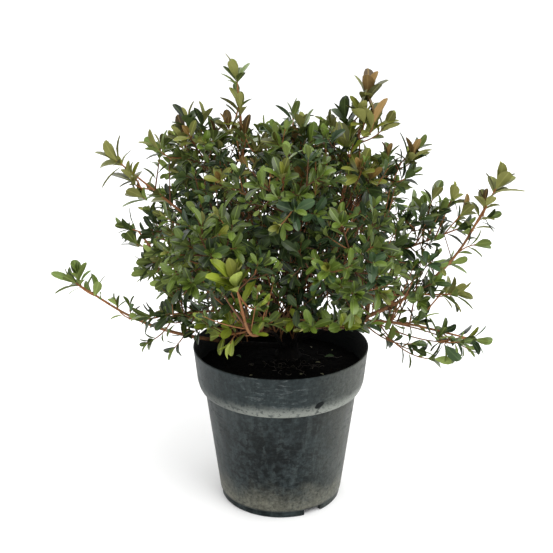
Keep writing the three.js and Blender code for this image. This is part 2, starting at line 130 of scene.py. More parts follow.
MASSES = (
    Mass("left", "trunk", 0.62, 36, (-176, 0, 312), 184, 20, 64),
    Mass("low_left", "trunk", 0.34, 8, (-236, -8, 262), 183, 36, 38),
    Mass("low_left_inner", "low_left", 0.3, 16, (-156, -40, 222), 192, 0, 56),
    Mass("far_right", "trunk", 0.62, 18, (234, 0, 374), 0, 64, 48),
    Mass("low_right", "far_right", 0.3, 4, (230, -2, 176), -2, -14, 42),
    Mass("lower_right", "far_right", 0.36, 8, (206, -8, 236), -4, 2, 62),
    Mass("right", "far_right", 0.5, 46, (208, 8, 312), 0, 22, 68),
    Mass("front_low_left", "trunk", 0.32, 30, (-84, -112, 228), 228, 12, 56),
    Mass("front_low_right", "trunk", 0.34, 36, (70, -104, 238), -62, 20, 58),
    Mass("back_low_left", "trunk", 0.36, 26, (-132, 144, 232), 140, 10, 70),
    Mass("back_low_right", "trunk", 0.38, 26, (142, 146, 230), 42, 10, 70),
    Mass("front_left", "trunk", 0.72, 44, (-100, -112, 330), 220, 36, 70),
    Mass("front_shoot", "front_low_left", 0.9, 14, (-48, -142, 322), 248, 66, 48),
    Mass("front_right", "trunk", 0.74, 44, (100, -112, 330), -44, 36, 72),
    Mass("back_left", "trunk", 0.7, 44, (-124, 148, 330), 135, 34, 74),
    Mass("back_right", "trunk", 0.72, 44, (140, 148, 326), 45, 32, 74),
    Mass("top_left", "trunk", 0.94, 62, (-108, 8, 420), 188, 56, 68),
    Mass("upper_left", "top_left", 0.3, 36, (-184, 4, 390), 180, 40, 62),
    Mass("top_lead", "top_left", 0.4, 72, (-46, 10, 481), 180, 86, 60),
    Mass("top_right", "trunk", 0.94, 64, (92, 8, 466), -10, 78, 68),
    Mass("upper_right", "top_right", 0.36, 44, (150, 12, 400), 0, 46, 64),
    Mass("front_centre", "trunk", 0.94, 62, (0, -92, 396), -94, 56, 68),
    Mass("top_centre", "front_centre", 0.36, 76, (22, 0, 432), -60, 84, 62),
    Mass("back_centre", "trunk", 0.92, 58, (10, 168, 368), 90, 40, 72),
    Mass("back_top", "back_centre", 0.36, 70, (14, 84, 428), 84, 70, 68),
    Mass("inner", "front_right", 0.3, 60, (52, -34, 318), -20, 64, 54),
)


class Tint(Enum):
    """The greens of an azalea's leaves: upper face, under face, roughness and gloss."""

    DEEP = ("deep", (0.013, 0.027, 0.005), (0.045, 0.068, 0.02), 0.34, 0.26)
    MID = ("mid", (0.064, 0.099, 0.011), (0.13, 0.168, 0.044), 0.36, 0.42)
    BLUE = ("blue", (0.016, 0.038, 0.014), (0.056, 0.09, 0.042), 0.32, 0.34)
    OLIVE = ("olive", (0.1, 0.108, 0.013), (0.168, 0.168, 0.052), 0.42, 0.36)
    BRONZE = ("bronze", (0.12, 0.07, 0.018), (0.18, 0.11, 0.042), 0.42, 0.32)
    BRIGHT = ("bright", (0.13, 0.162, 0.012), (0.176, 0.212, 0.044), 0.42, 0.34)

    def __init__(self, label: str, upper: Colour, under: Colour, roughness: float, gloss: float) -> None:
        """Keep the tint's parts by name.

        Args:
            label: Its short name.
            upper: The colour of the leaf's upper face.
            under: The colour of its under face.
            roughness: How rough the upper face is.
            gloss: How strongly the upper face shines.
        """
        self.label = label
        self.upper = upper
        self.under = under
        self.roughness = roughness
        self.gloss = gloss


DEEP, MID, BLUE, OLIVE, BRONZE, BRIGHT = Tint


@dataclass(frozen=True)
class Habit:
    """How a shoot bears its leaves: the whorl at its end, and the single leaves below it."""

    fewest: int
    most: int
    outer_slope: float
    step: tuple[float, float]
    inner_shrink: float
    size: float


USUAL = Habit(5, 8, 70, (5.5, 9.5), 0.3, 0.98)
SMALL = Habit(4, 5, 66, (8.0, 12.0), 0.2, 0.74)
LEADING = Habit(6, 8, 66, (7.0, 11.0), 0.15, 1.14)
SHADED = Habit(4, 7, 76, (5.0, 8.5), 0.3, 1.0)
SPARSE = Habit(3, 4, 50, (10.0, 17.0), 0.2, 1.06)
YOUNG = Habit(10, 11, 40, (15.0, 20.0), 0.0, 1.74)
TALL = Habit(7, 9, 58, (10.0, 14.0), 0.05, 1.26)
BROAD = Habit(6, 7, 52, (10.0, 14.0), 0.02, 1.5)
SINGLE = Habit(4, 4, 46, (12.0, 16.0), 0.1, 1.2)


@dataclass(frozen=True)
class Leader:
    """A shoot that stands clear of its mass: the end of its stem, its slope there and its greens.

    With a start of 0 or more it grows from that share of the bough, not from the mass's stem.
    """

    end: Point
    heading: float
    rise: float
    outer: Tint
    inner: Tint
    habit: Habit = LEADING
    start: float = -1.0


LEADERS = {
    "low_left": (
        Leader((-196, -6, 240), 70, 66, MID, MID, SPARSE),
        Leader((-214, -4, 252), 110, 80, MID, MID),
    ),
    "low_left_inner": (
        Leader((-176, -8, 228), 120, 66, MID, MID, SMALL),
        Leader((-160, -12, 224), 60, 70, BLUE, MID, SMALL),
        Leader((-140, -30, 190), 200, -16, MID, MID, SMALL),
        Leader((-112, -44, 188), 220, -34, DEEP, MID, SMALL),
        Leader((-102, -34, 224), 200, 50, DEEP, MID),
        Leader((-116, -28, 212), 190, 24, MID, MID),
        Leader((-90, -44, 208), 215, 0, DEEP, MID, USUAL),
    ),
    "left": (
        Leader((-153, 0, 291), 176, 60, MID, MID),
        Leader((-137, -9, 260), 184, 6, MID, MID),
        Leader((-136, -10, 272), 184, 10, DEEP, MID),
        Leader((-102, -56, 296), 200, 44, BRIGHT, BRIGHT),
    ),
    "upper_left": (
        Leader((-154, 0, 360), 150, 76, OLIVE, OLIVE),
        Leader((-144, 0, 340), 178, 40, MID, OLIVE),
    ),
    "top_left": (
        Leader((-125, 0, 390), 176, 50, MID, OLIVE),
        Leader((-101, 0, 399), 170, 74, OLIVE, OLIVE),
        Leader((-95, 4, 418), 160, 80, DEEP, OLIVE),
        Leader((-79, 0, 416), 20, 80, DEEP, OLIVE),
        Leader((-68, -6, 404), 0, 80, MID, BRONZE),
    ),
    "top_lead": (
        Leader((-42, 0, 433), 150, 76, OLIVE, OLIVE, SINGLE),
        Leader((-53, 0, 411), 180, 84, OLIVE, BRONZE),
        Leader((-36, -8, 404), 90, 80, MID, BRONZE),
        Leader((-22, -10, 394), 0, 64, OLIVE, OLIVE),
    ),
    "top_centre": (
        Leader((-5, 0, 402), 180, 84, DEEP, MID),
        Leader((12, 8, 394), 20, 80, MID, BRONZE),
        Leader((23, 0, 399), 0, 82, BLUE, MID),
        Leader((38, 0, 401), 0, 80, MID, MID),
        Leader((20, -44, 372), 268, 40, MID, BRONZE),
    ),
    "top_right": (
        Leader((52, 0, 412), 170, 74, OLIVE, OLIVE),
        Leader((65, 0, 420), 180, 80, DEEP, DEEP, TALL),
        Leader((66, -20, 396), 180, 76, BRIGHT, OLIVE, TALL),
        Leader((82, -6, 424), 170, 74, OLIVE, OLIVE, TALL),
        Leader((92, -8, 416), 40, 76, OLIVE, BRONZE, BROAD),
        Leader((104, 0, 412), 0, 54, OLIVE, OLIVE),
        Leader((78, -34, 376), 260, 66, OLIVE, BRONZE),
    ),
    "upper_right": (
        Leader((109, 0, 382), 20, 78, MID, BRONZE),
        Leader((134, 0, 382), 0, 80, OLIVE, BRONZE),
        Leader((129, -10, 364), 0, 44, DEEP, MID),
        Leader((120, 0, 352), 0, 30, MID, MID, SPARSE),
    ),
    "right": (
        Leader((149, 0, 322), 120, 70, MID, MID),
        Leader((157, 0, 338), 0, 74, MID, OLIVE),
        Leader((165, 0, 322), 0, 62, DEEP, MID),
        Leader((177, 0, 340), 0, 72, OLIVE, OLIVE, SPARSE),
        Leader((188, 0, 322), 0, 52, OLIVE, BRONZE),
    ),
    "far_right": (
        Leader((211, 0, 334), 140, 84, OLIVE, BRONZE),
        Leader((214, -4, 318), 0, 30, DEEP, MID, SPARSE),
        Leader((196, 6, 300), 200, 50, MID, OLIVE, SPARSE, 0.94),
        Leader((202, -6, 290), 350, 14, MID, MID, SPARSE, 0.86),
        Leader((182, 0, 268), 0, 6, MID, MID, SPARSE, 0.78),
    ),
    "lower_right": (
        Leader((182, 0, 234), 0, 30, OLIVE, OLIVE),
        Leader((156, 0, 236), 0, 66, MID, MID),
        Leader((148, -16, 211), 0, 50, DEEP, MID),
    ),
    "low_right": (
        Leader((172, -4, 187), 0, 60, MID, MID),
        Leader((200, -2, 182), 0, 30, MID, OLIVE, SPARSE),
        Leader((168, -6, 160), 0, 0, MID, MID, SPARSE, 0.3),
        Leader((150, -12, 172), 10, -10, DEEP, MID, SPARSE, 0.2),
        Leader((192, -20, 186), 330, 16, MID, MID, SMALL, 0.24),
        Leader((140, -24, 186), 320, 24, DEEP, MID, SMALL, 0.08),
        Leader((206, 2, 168), 0, -30, MID, MID, SMALL, 0.4),
        Leader((179, -6, 173), -10, -50, BLUE, MID),
    ),
    "front_low_left": (
        Leader((-50, -90, 215), 232, -44, BRIGHT, BRIGHT, SPARSE),
        Leader((-72, -70, 224), 215, 20, MID, BRIGHT, SPARSE),
        Leader((-26, -92, 224), 330, 22, BRIGHT, BRIGHT, SPARSE),
        Leader((-10, -80, 232), 350, 30, MID, BRIGHT, SPARSE),
    ),
    "front_shoot": (
        Leader((-22, -118, 262), 330, 40, MID, BRIGHT, SPARSE),
    ),
    "front_low_right": (
        Leader((11, -56, 225), 250, 10, BRIGHT, BRIGHT, SPARSE),
        Leader((43, -57, 219), -80, 10, MID, BRIGHT, SPARSE),
    ),
}


@dataclass(frozen=True)
class Lead:
    """A mass's leading stem: how far it stops short of the tip, its habit, and its own greens if any."""

    short: float = 20
    habit: Habit = LEADING
    greens: tuple[Tint, Tint] | None = None


LEADS = {
    "front_shoot": Lead(38, YOUNG, (BRIGHT, OLIVE)),
    "front_low_left": Lead(36, SPARSE),
    "top_lead": Lead(20, Habit(8, 9, 62, (11.0, 14.0), 0.02, 1.26), (MID, OLIVE)),
    "top_right": Lead(24, Habit(7, 8, 52, (10.0, 14.0), 0.02, 1.48), (OLIVE, BRONZE)),
    "far_right": Lead(26, Habit(8, 9, 70, (11.0, 15.0), 0.02, 1.42), (OLIVE, OLIVE)),
    "upper_left": Lead(20, Habit(9, 10, 84, (10.0, 14.0), 0.04, 1.34), (OLIVE, OLIVE)),
    "low_left": Lead(22, Habit(6, 7, 72, (12.0, 17.0), 0.05, 1.24)),
}

# Masses that bear fewer shoots than their reach would give, and how many they bear.
FEW_SHOOTS = {
    "front_shoot": 4, "low_left_inner": 6, "low_right": 6, "far_right": 6, "right": 10, "lower_right": 9,
}

# The crown's outline, seen from the front in the plane through its middle, from its lower right
# upwards and round: the distance across and the height of each of its corners.
CROWN_MIDDLE = (0.0, 262.0)
CROWN_CORNERS = (
    (186, 226), (184, 324), (132, 342), (134, 396), (96, 430), (20, 426), (-34, 421), (-100, 430),
    (-134, 400), (-122, 370), (-152, 332), (-156, 268), (-142, 206), (-70, 178), (54, 176), (172, 196),
)


# ---------------------------------------------------------------- directions and chance
def aim(azimuth: float, slope: float) -> Array:
    """Turn a compass angle from +X and a slope above the horizon into a direction.

    Args:
        azimuth: Degrees from +X, seen from above.
        slope: Degrees above the horizon.

    Returns:
        The unit direction.
    """
    flat = math.cos(math.radians(slope))
    turn = math.radians(azimuth)
    return np.array([math.cos(turn) * flat, math.sin(turn) * flat, math.sin(math.radians(slope))])


def unit(vector: Array) -> Array:
    """Scale a vector, or each row of an array of vectors, to length one."""
    return vector / np.maximum(np.linalg.norm(vector, axis=-1, keepdims=True), 1e-9)


def off_axis(axis: Array, angle: float, turn: float) -> Array:
    """Lean a direction away from an axis, turned round it from the upper side.

    Args:
        axis: The unit axis.
        angle: Radians between the axis and the result.
        turn: Radians round the axis.

    Returns:
        The unit direction.
    """
    side = np.cross(UP, axis)
    side = unit(side) if np.linalg.norm(side) > 0.05 else np.array([1.0, 0.0, 0.0])
    upper = np.cross(axis, side)
    lean = upper * math.cos(turn) + side * math.sin(turn)
    return axis * math.cos(angle) + lean * math.sin(angle)


def bezier(ends: list[Array], shares: Array) -> Array:
    """Points on a Bezier curve with three or four control points.

    Args:
        ends: The control points.
        shares: Where along the curve, each from 0 to 1.

    Returns:
        One row for each share.
    """
    t = np.asarray(shares, float)[:, None]
    if len(ends) == 3:
        weights = ((1 - t) ** 2, 2 * t * (1 - t), t**2)
    else:
        weights = ((1 - t) ** 3, 3 * t * (1 - t) ** 2, 3 * t**2 * (1 - t), t**3)
    return sum(weight * np.asarray(end, float) for weight, end in zip(weights, ends))


# ---------------------------------------------------------------- Blender by hand
def pick(piece: Piece) -> None:
    """Select a piece, and nothing else, and make it the active one.

    Args:
        piece: The object.
    """
    bpy.ops.object.select_all(action="DESELECT")
    piece.select_set(True)
    bpy.context.view_layer.objects.active = piece


@contextmanager
def editing(piece: Piece) -> Iterator[bmesh.types.BMesh]:
    """Open a piece, and nothing else, in edit mode.

    Args:
        piece: The mesh object.

    Yields:
        Its edit mesh.
    """
    pick(piece)
    bpy.ops.object.mode_set(mode="EDIT")
    bpy.context.tool_settings.mesh_select_mode = (True, False, False)
    yield bmesh.from_edit_mesh(piece.data)
    bpy.ops.object.mode_set(mode="OBJECT")


def settle(piece: Piece, name: str) -> Piece:
    """Name a new primitive and move its place into its mesh.

    Args:
        piece: The new object.
        name: Its name.

    Returns:
        The same object, at the origin, unturned and unscaled.
    """
    piece.name = name
    piece.data.name = name
    pick(piece)
    bpy.ops.object.transform_apply(location=True, rotation=True, scale=True)
    return piece


def finish_with(piece: Piece, kind: str, **settings: object) -> None:
    """Add a modifier to a piece and apply it.

    Args:
        piece: The mesh object.
        kind: The modifier's type.
        settings: Its values by name.
    """
    modifier = piece.modifiers.new(kind.lower(), kind)
    for name, value in settings.items():
        setattr(modifier, name, value)
    pick(piece)
    bpy.ops.object.modifier_apply(modifier=modifier.name)


def coat_with(piece: Piece, *materials: Material) -> None:
    """Give a piece its materials.

    Args:
        piece: The piece, which has none yet.
        materials: One for each side that its faces name.
    """
    for material in materials:
        piece.data.materials.append(material)


def cut(piece: Piece, cutter: Piece) -> None:
    """Cut one solid out of another, and remove the cutter."""
    finish_with(piece, "BOOLEAN", operation="DIFFERENCE", object=cutter, solver="EXACT")
    bpy.data.objects.remove(cutter, do_unlink=True)


def turned(name: str, profile: list[tuple[float, float]], sides: int) -> Piece:
    """Raise a disc up a profile, ring by ring, and close it at the axis.

    Args:
        name: The new piece's name.
        profile: Radius and height of each ring.
        sides: The number of faces round the axis.

    Returns:
        The closed piece.
    """
    radius, height = profile[0]
    bpy.ops.object.select_all(action="DESELECT")
    bpy.ops.mesh.primitive_circle_add(
        vertices=sides, radius=radius * MM, fill_type="TRIFAN", location=(0, 0, height * MM)
    )
    piece = settle(bpy.context.active_object, name)
    with editing(piece) as shape:
        for vertex in shape.verts:
            vertex.select = vertex.co.xy.length > radius * MM * 0.5
        shape.select_flush_mode()
        bmesh.update_edit_mesh(piece.data)
        for (wide, low), (next_wide, high) in zip(profile, profile[1:]):
            lift = (0, 0, (high - low) * MM)
            bpy.ops.mesh.extrude_region_move(TRANSFORM_OT_translate={"value": lift})
            share = next_wide / wide
            bpy.ops.transform.resize(value=(share, share, 1), center_override=(0, 0, high * MM))
        bpy.ops.mesh.merge(type="CENTER")
        bpy.ops.mesh.select_all(action="SELECT")
        bpy.ops.mesh.normals_make_consistent(inside=False)
    return piece


def mesh_piece(
    name: str,
    points: Array,
    faces: Array,
    uvs: Array | None = None,
    sides: Array | None = None,
    shades: Array | None = None,
) -> Piece:
    """Make one piece from arrays of points and triangles.

    Args:
        name: The piece's name.
        points: One row for each point, in millimetres.
        faces: One row of three corners for each triangle.
        uvs: A UV place for each point.
        sides: The side of each triangle: 1 takes the second material, any other the first, and
            the edges between two sides stay sharp.
        shades: A shade from 0 to 1 for each point.

    Returns:
        The new object, smooth shaded.
    """
    mesh = bpy.data.meshes.new(name)
    mesh.vertices.add(len(points))
    mesh.vertices.foreach_set("co", (points * MM).astype(np.float32).ravel())
    mesh.loops.add(faces.size)
    mesh.loops.foreach_set("vertex_index", faces.astype(np.int32).ravel())
    mesh.polygons.add(len(faces))
    mesh.polygons.foreach_set("loop_start", np.arange(0, faces.size, 3, dtype=np.int32))
    if sides is not None:
        mesh.polygons.foreach_set("material_index", (sides == 1).astype(np.int32))
    mesh.update(calc_edges=True)
    mesh.polygons.foreach_set("use_smooth", np.ones(len(faces), bool))
    if uvs is not None:
        layer = mesh.uv_layers.new(name="across_and_along")
        layer.data.foreach_set("uv", uvs[faces.ravel()].astype(np.float32).ravel())
    if shades is not None:
        layer = mesh.attributes.new("leaf_shade", "FLOAT", "POINT")
        layer.data.foreach_set("value", shades.astype(np.float32))
    if sides is not None:
        mark_borders(mesh, faces, sides)
    mesh.validate()
    piece = bpy.data.objects.new(name, mesh)
    bpy.context.scene.collection.objects.link(piece)
    return piece


def mark_borders(mesh: bpy.types.Mesh, faces: Array, sides: Array) -> None:
    """Mark as sharp each edge between two sides.

    Args:
        mesh: The mesh to mark.
        faces: Its triangles.
        sides: The side of each triangle.
    """
    loop_edges = np.empty(faces.size, np.int32)
    mesh.loops.foreach_get("edge_index", loop_edges)
    low = np.full(len(mesh.edges), 9)
    high = np.full(len(mesh.edges), -1)
    corner_sides = np.repeat(sides, 3)
    np.minimum.at(low, loop_edges, corner_sides)
    np.maximum.at(high, loop_edges, corner_sides)
    marks = mesh.attributes.new("sharp_edge", "BOOLEAN", "EDGE")
    marks.data.foreach_set("value", low != high)


# ---------------------------------------------------------------- material bench
class Bench:
    """A material in the making, and the few moves from which every finish here is made."""

    def __init__(self, name: str) -> None:
        """Start a material with a bare Principled shader.

        Args:
            name: The material's name.
        """
        self.material = bpy.data.materials.new(name)
        self.material.use_nodes = True
        self.tree = self.material.node_tree
        self.shader = self.tree.nodes["Principled BSDF"]

    def add(self, kind: str, inputs: dict[int | str, object], **settings: object) -> Node:
        """Add a node, give it its settings, and set or link its inputs.

        Args:
            kind: The node's type without its ShaderNode prefix.
            inputs: A value or an output socket for each input, by name or number.
            settings: The node's own values by name.

        Returns:
            The new node.
        """
        node = self.tree.nodes.new("ShaderNode" + kind)
        for name, value in settings.items():
            setattr(node, name, value)
        for key, value in inputs.items():
            self.feed(node.inputs[key], value)
        return node

    def feed(self, socket: Socket, value: object) -> None:
        """Link an output to an input, or set the input's own value.

        Args:
            socket: The input.
            value: An output to link, or a value to set.
        """
        if isinstance(value, Socket):
            self.tree.links.new(value, socket)
        elif isinstance(value, tuple) and len(value) == 3 and socket.type == "RGBA":
            socket.default_value = (*value, 1.0)
        else:
            socket.default_value = value

    def place(self) -> Socket:
        """The place on the piece, in metres."""
        return self.add("TexCoord", {}).outputs["Object"]

    def stretched(self, where: Socket, scale: Point) -> Socket:
        """The same place, scaled along each axis."""
        return self.add("Mapping", {"Vector": where, "Scale": scale}).outputs["Vector"]

    def apart(self, where: Socket, place: Point) -> Socket:
        """The distance of a place from a fixed one."""
        return self.add("VectorMath", {0: where, 1: place}, operation="DISTANCE").outputs["Value"]

    def cloud(
        self, where: Socket, per_metre: float, detail: float = 3.0, rough: float = 0.5
    ) -> Socket:
        """A soft mottle from 0 to 1.

        Args:
            where: The place to read it at.
            per_metre: How many blobs there are to a metre.
            detail: How many finer layers it has.
            rough: How strong the finer layers are.

        Returns:
            The mottle's output.
        """
        inputs = {"Vector": where, "Scale": per_metre, "Detail": detail, "Roughness": rough}
        return self.add("TexNoise", inputs).outputs["Fac"]

    def range(
        self, value: Socket, low: float, high: float, start: float = 0.0, end: float = 1.0
    ) -> Socket:
        """Spread a stretch of values over another, with a smooth run from one end to the other.

        Args:
            value: The value to spread.
            low: Where the run starts.
            high: Where it ends.
            start: The result at its start.
            end: The result at its end.

        Returns:
            The spread value.
        """
        inputs = {"Value": value, "From Min": low, "From Max": high, "To Min": start, "To Max": end}
        return self.add("MapRange", inputs, interpolation_type="SMOOTHSTEP").outputs["Result"]

    def sum(self, first: object, second: object, operation: str = "ADD") -> Socket:
        """Work out one number from two."""
        return self.add("Math", {0: first, 1: second}, operation=operation).outputs["Value"]

    def times(self, first: object, second: object) -> Socket:
        """Multiply two numbers."""
        return self.sum(first, second, "MULTIPLY")

    def split(self, vector: Socket) -> tuple[Socket, ...]:
        """The three parts of a vector."""
        return tuple(self.add("SeparateXYZ", {0: vector}).outputs)

    def blend(
        self, share: object, first: object, second: object, blend_type: str = "MIX"
    ) -> Socket:
        """Blend two colours.

        Args:
            share: How much of the second shows.
            first: The colour underneath.
            second: The colour on top.
            blend_type: How they blend.

        Returns:
            The blended colour.
        """
        node = self.add("Mix", {0: share, 6: first, 7: second}, data_type="RGBA", blend_type=blend_type)
        return node.outputs[2]

    def relief(self, height: Socket, depth: float, strength: float = 1.0) -> None:
        """Raise the surface by a height from 0 to 1, over a depth in metres."""
        inputs = {"Height": height, "Distance": depth, "Strength": strength}
        self.feed(self.shader.inputs["Normal"], self.add("Bump", inputs).outputs["Normal"])

    def coat(self, **values: object) -> Material:
        """Set or link the shader's own inputs.

        Args:
            values: A value or an output for each input, by its name with low lines for spaces.

        Returns:
            The finished material.
        """
        for name, value in values.items():
            self.feed(self.shader.inputs[name.replace("_", " ").title().replace("Ior", "IOR")], value)
        return self.material


@dataclass(frozen=True)
class PotPlastic:
    """Weathered dark plastic: mottled, worn by chafing along the collar and dusty towards its foot, with
    painted shade on its inner faces, on its front and in its slot, and a painted highlight on the collar's
    lower bevel.
    """

    dark: Colour = (0.0045, 0.008, 0.0085)
    worn: Colour = (0.024, 0.0325, 0.034)
    # A near-black painted shade: on the front patch, where it deepens the plastic's own dark mottling, and in
    # the slot on the collar's bevel.
    front_shade_and_mottle: Colour = (0.0012, 0.003, 0.0034)
    streaked: Colour = (0.042, 0.052, 0.05)
    dust: Colour = (0.14, 0.138, 0.108)
    # The pale band on the collar's lower bevel: chafe mixed with a painted highlight.
    chafe_and_highlight: Colour = (0.225, 0.24, 0.215)
    scuff: Colour = (0.12, 0.135, 0.135)
    # A near-black painted shade for the faces turned inward.
    inside_shade: Colour = (0.004, 0.005, 0.0055)
    # The middle of the darker front patch, partly painted shade.
    front_shade_place: Point = (-0.018, -0.079, 0.07)
    scuff_place: Point = (-0.012, -0.094, 0.166)

    def wall(self, bench: Bench, where: Socket, mottle: Socket, streak: Socket) -> Socket:
        """The plastic itself: dark, worn paler in soft blotches, with a darker mottled patch on the front
        that is partly painted shade.

        Args:
            bench: The material in the making.
            where: The place on the pot.
            mottle: Its fine mottle.
            streak: Its upright streaks.

        Returns:
            The colour.
        """
        blotch = bench.times(bench.cloud(where, 30, 4, 0.6), 0.4)
        fine = bench.sum(bench.times(mottle, 0.36), bench.times(streak, 0.24))
        colour = bench.blend(bench.range(bench.sum(blotch, fine), 0.42, 0.6), self.dark, self.worn)
        colour = bench.blend(bench.range(streak, 0.5, 0.72, 0, 0.45), colour, self.streaked)
        # A darker mottled patch on the front: partly the plastic's own dark mottling, partly painted shade.
        front_shade_and_mottle = bench.range(bench.apart(where, self.front_shade_place), 0.022, 0.07, 1, 0)
        spots = bench.range(bench.sum(bench.times(mottle, 1.5), blotch), 0.8, 1.02, 1, 0.05)
        return bench.blend(bench.times(front_shade_and_mottle, spots), colour, self.front_shade_and_mottle)

    def band(self, bench: Bench, pot: "Pot", across: Socket, rise: Socket, mottle: Socket) -> Socket:
        """How pale the lower edge of the collar is: partly worn by chafing, partly a painted highlight on its
        bevel.

        Args:
            bench: The material in the making.
            pot: The pot.
            across: The place from left to right.
            rise: The height.
            mottle: The pot's fine mottle.

        Returns:
            A share from 0 to 1.
        """
        level = bench.sum(rise, bench.times(mottle, 0.026))
        low = bench.range(rise, (pot.ledge_height - 2) * MM, (pot.ledge_height + 1) * MM)
        high = bench.range(level, (pot.collar_height + 8) * MM, (pot.collar_height + 20) * MM, 1, 0)
        left = bench.range(across, -0.08, -0.015, 0.3, 0.96)
        grit = bench.range(mottle, 0.36, 0.52, 0.3, 1)
        return bench.times(bench.times(low, high), bench.times(left, grit))

    def footing(self, bench: Bench, across: Socket, rise: Socket, blotch: Socket, speck: Socket) -> Socket:
        """How thick the dust lies: thickest above the foot, and up the right side.

        Args:
            bench: The material in the making.
            across: The place from left to right.
            rise: The height.
            blotch: The pot's broad mottle.
            speck: Its finest mottle.

        Returns:
            A share from 0 to 1.
        """
        foot = bench.range(bench.sum(rise, bench.times(blotch, 0.055)), 0.034, 0.078, 0.85, 0)
        ring = bench.range(rise, 0.0072, 0.0105)
        side = bench.range(bench.sum(across, bench.times(blotch, 0.03)), 0.035, 0.105, 0, 0.34)
        dust = bench.sum(bench.times(foot, ring), side, "MAXIMUM")
        return bench.times(dust, bench.range(speck, 0.3, 0.62, 0.5, 1))

    def material(self, pot: "Pot") -> Material:
        """Make the plastic for a pot of these sizes.

        Args:
            pot: The pot, for the heights of its collar and foot.

        Returns:
            The finished material.
        """
        bench = Bench("weathered_pot_plastic")
        where = bench.place()
        across, _, rise = bench.split(where)
        blotch = bench.cloud(where, 34, 4, 0.6)
        mottle = bench.cloud(where, 150, 5, 0.68)
        speck = bench.cloud(where, 300, 5, 0.65)
        streak = bench.cloud(bench.stretched(where, (1, 1, 0.1)), 130, 4, 0.6)
        colour = self.wall(bench, where, mottle, streak)
        collar = bench.range(rise, pot.ledge_height * MM, (pot.collar_height + 3) * MM, 0, 0.5)
        colour = bench.blend(collar, colour, self.worn)
        colour = bench.blend(self.footing(bench, across, rise, blotch, speck), colour, self.dust)
        scratch = bench.cloud(bench.stretched(where, (0.4, 0.4, 1.6)), 170, 7, 0.74)
        scratch = bench.range(scratch, 0.52, 0.64)
        scuffs = bench.times(scratch, bench.range(blotch, 0.38, 0.56))
        middle = bench.range(bench.apart(where, self.scuff_place), 0.016, 0.05, 0.72, 0.2)
        colour = bench.blend(bench.times(scuffs, middle), colour, self.scuff)
        grain = bench.range(bench.cloud(where, 260, 5, 0.72), 0.34, 0.66, 0.74, 1.28)
        shade = bench.add("CombineXYZ", {0: grain, 1: grain, 2: grain}).outputs["Vector"]
        colour = bench.blend(1.0, colour, shade, "MULTIPLY")
        # The pale band on the collar's lower bevel: partly chafe, partly painted highlight.
        colour = bench.blend(self.band(bench, pot, across, rise, mottle), colour, self.chafe_and_highlight)
        pits = bench.range(speck, 0.3, 0.4, 0.55, 0)
        colour = bench.blend(pits, colour, self.dark)
        # The oval slot on the collar's bevel is not cut into the shell: its recess is a painted shade.
        shaded_slot_frame = {"Location": pot.shaded_slot_place, "Rotation": (0, -0.5, 0), "Scale": pot.shaded_slot_size}
        shaded_slot_frame["Vector"] = where
        slot_shade_oval = bench.add("Mapping", shaded_slot_frame, vector_type="TEXTURE").outputs["Vector"]
        slot_shade_oval = bench.sum(bench.apart(slot_shade_oval, (0, 0, 0)), bench.times(speck, 0.5))
        colour = bench.blend(bench.range(slot_shade_oval, 1.05, 1.35, 1, 0), colour, self.front_shade_and_mottle)
        # Faces turned inward, inside the pot and its foot, take a near-black painted shade.
        outwards = bench.add("VectorMath", {0: where, 1: (1, 1, 0)}, operation="MULTIPLY").outputs["Vector"]
        normal = bench.add("NewGeometry", {}).outputs["Normal"]
        facing = bench.add("VectorMath", {0: outwards, 1: normal}, operation="DOT_PRODUCT").outputs["Value"]
        colour = bench.blend(bench.range(facing, -0.02, -0.005, 1, 0), colour, self.inside_shade)
        roughness = bench.range(bench.sum(mottle, scuffs), 0.35, 1.1, 0.44, 0.74)
        grain = bench.sum(bench.cloud(where, 700, 3), bench.times(streak, 0.6))
        bench.relief(grain, 0.0003, 0.5)
        return bench.coat(
            base_color=colour,
            roughness=roughness,
            specular_ior_level=0.09,
            sheen_weight=0.07,
            sheen_roughness=0.45,
            sheen_tint=(0.82, 0.84, 0.8),
        )


@dataclass(frozen=True)
class CompostFinish:
    """Moist potting compost, nearly black, with paler crumbs."""

    wet: Colour = (0.001, 0.001, 0.001)
    crumb: Colour = (0.008, 0.0068, 0.0056)

    def material(self) -> Material:
        """Make the compost's material."""
        bench = Bench("moist_compost")
        where = bench.place()
        grit = bench.cloud(where, 420, 6, 0.7)
        colour = bench.blend(bench.range(grit, 0.52, 0.75), self.wet, self.crumb)
        bench.relief(grit, 0.0012, 0.8)
        return bench.coat(base_color=colour, roughness=0.94, specular_ior_level=0.05)


@dataclass(frozen=True)
class Bark:
    """Bark that runs from one colour to another with the distance from the trunk; on the boughs and twigs the
    darker near colour is partly older bark, partly painted shade of the crown's heart.
    """

    name: str
    near: Colour
    far: Colour
    ridge: Colour
    reach: float
    roughness: float
    relief: float
    dark_reach: float = 50

    def material(self, root: Point) -> Material:
        """Make the bark.

        Args:
            root: The trunk's place, in metres.

        Returns:
            The finished material.
        """
        bench = Bench(self.name)
        where = bench.place()
        apart = bench.apart(where, root)
        patch = bench.cloud(where, 160, 5, 0.6)
        # Darker near the trunk: partly older bark, partly painted shade of the crown's heart.
        age_and_shade = bench.sum(apart, bench.times(patch, 0.05))
        age_and_shade = bench.range(age_and_shade, self.dark_reach * MM, self.reach * MM)
        skin = bench.blend(age_and_shade, self.near, self.far)
        fissure = bench.cloud(bench.stretched(where, (1, 1, 0.35)), 620, 5, 0.65)
        light = bench.range(fissure, 0.5, 0.72, 0, 0.75)
        # Ridges pale less near the trunk: painted shade.
        light = bench.times(light, bench.range(apart, 0.03, 0.09, 0.08, 1))
        colour = bench.blend(light, skin, self.ridge)
        bench.relief(fissure, self.relief, 0.7)
        return bench.coat(base_color=colour, roughness=self.roughness, specular_ior_level=0.16)


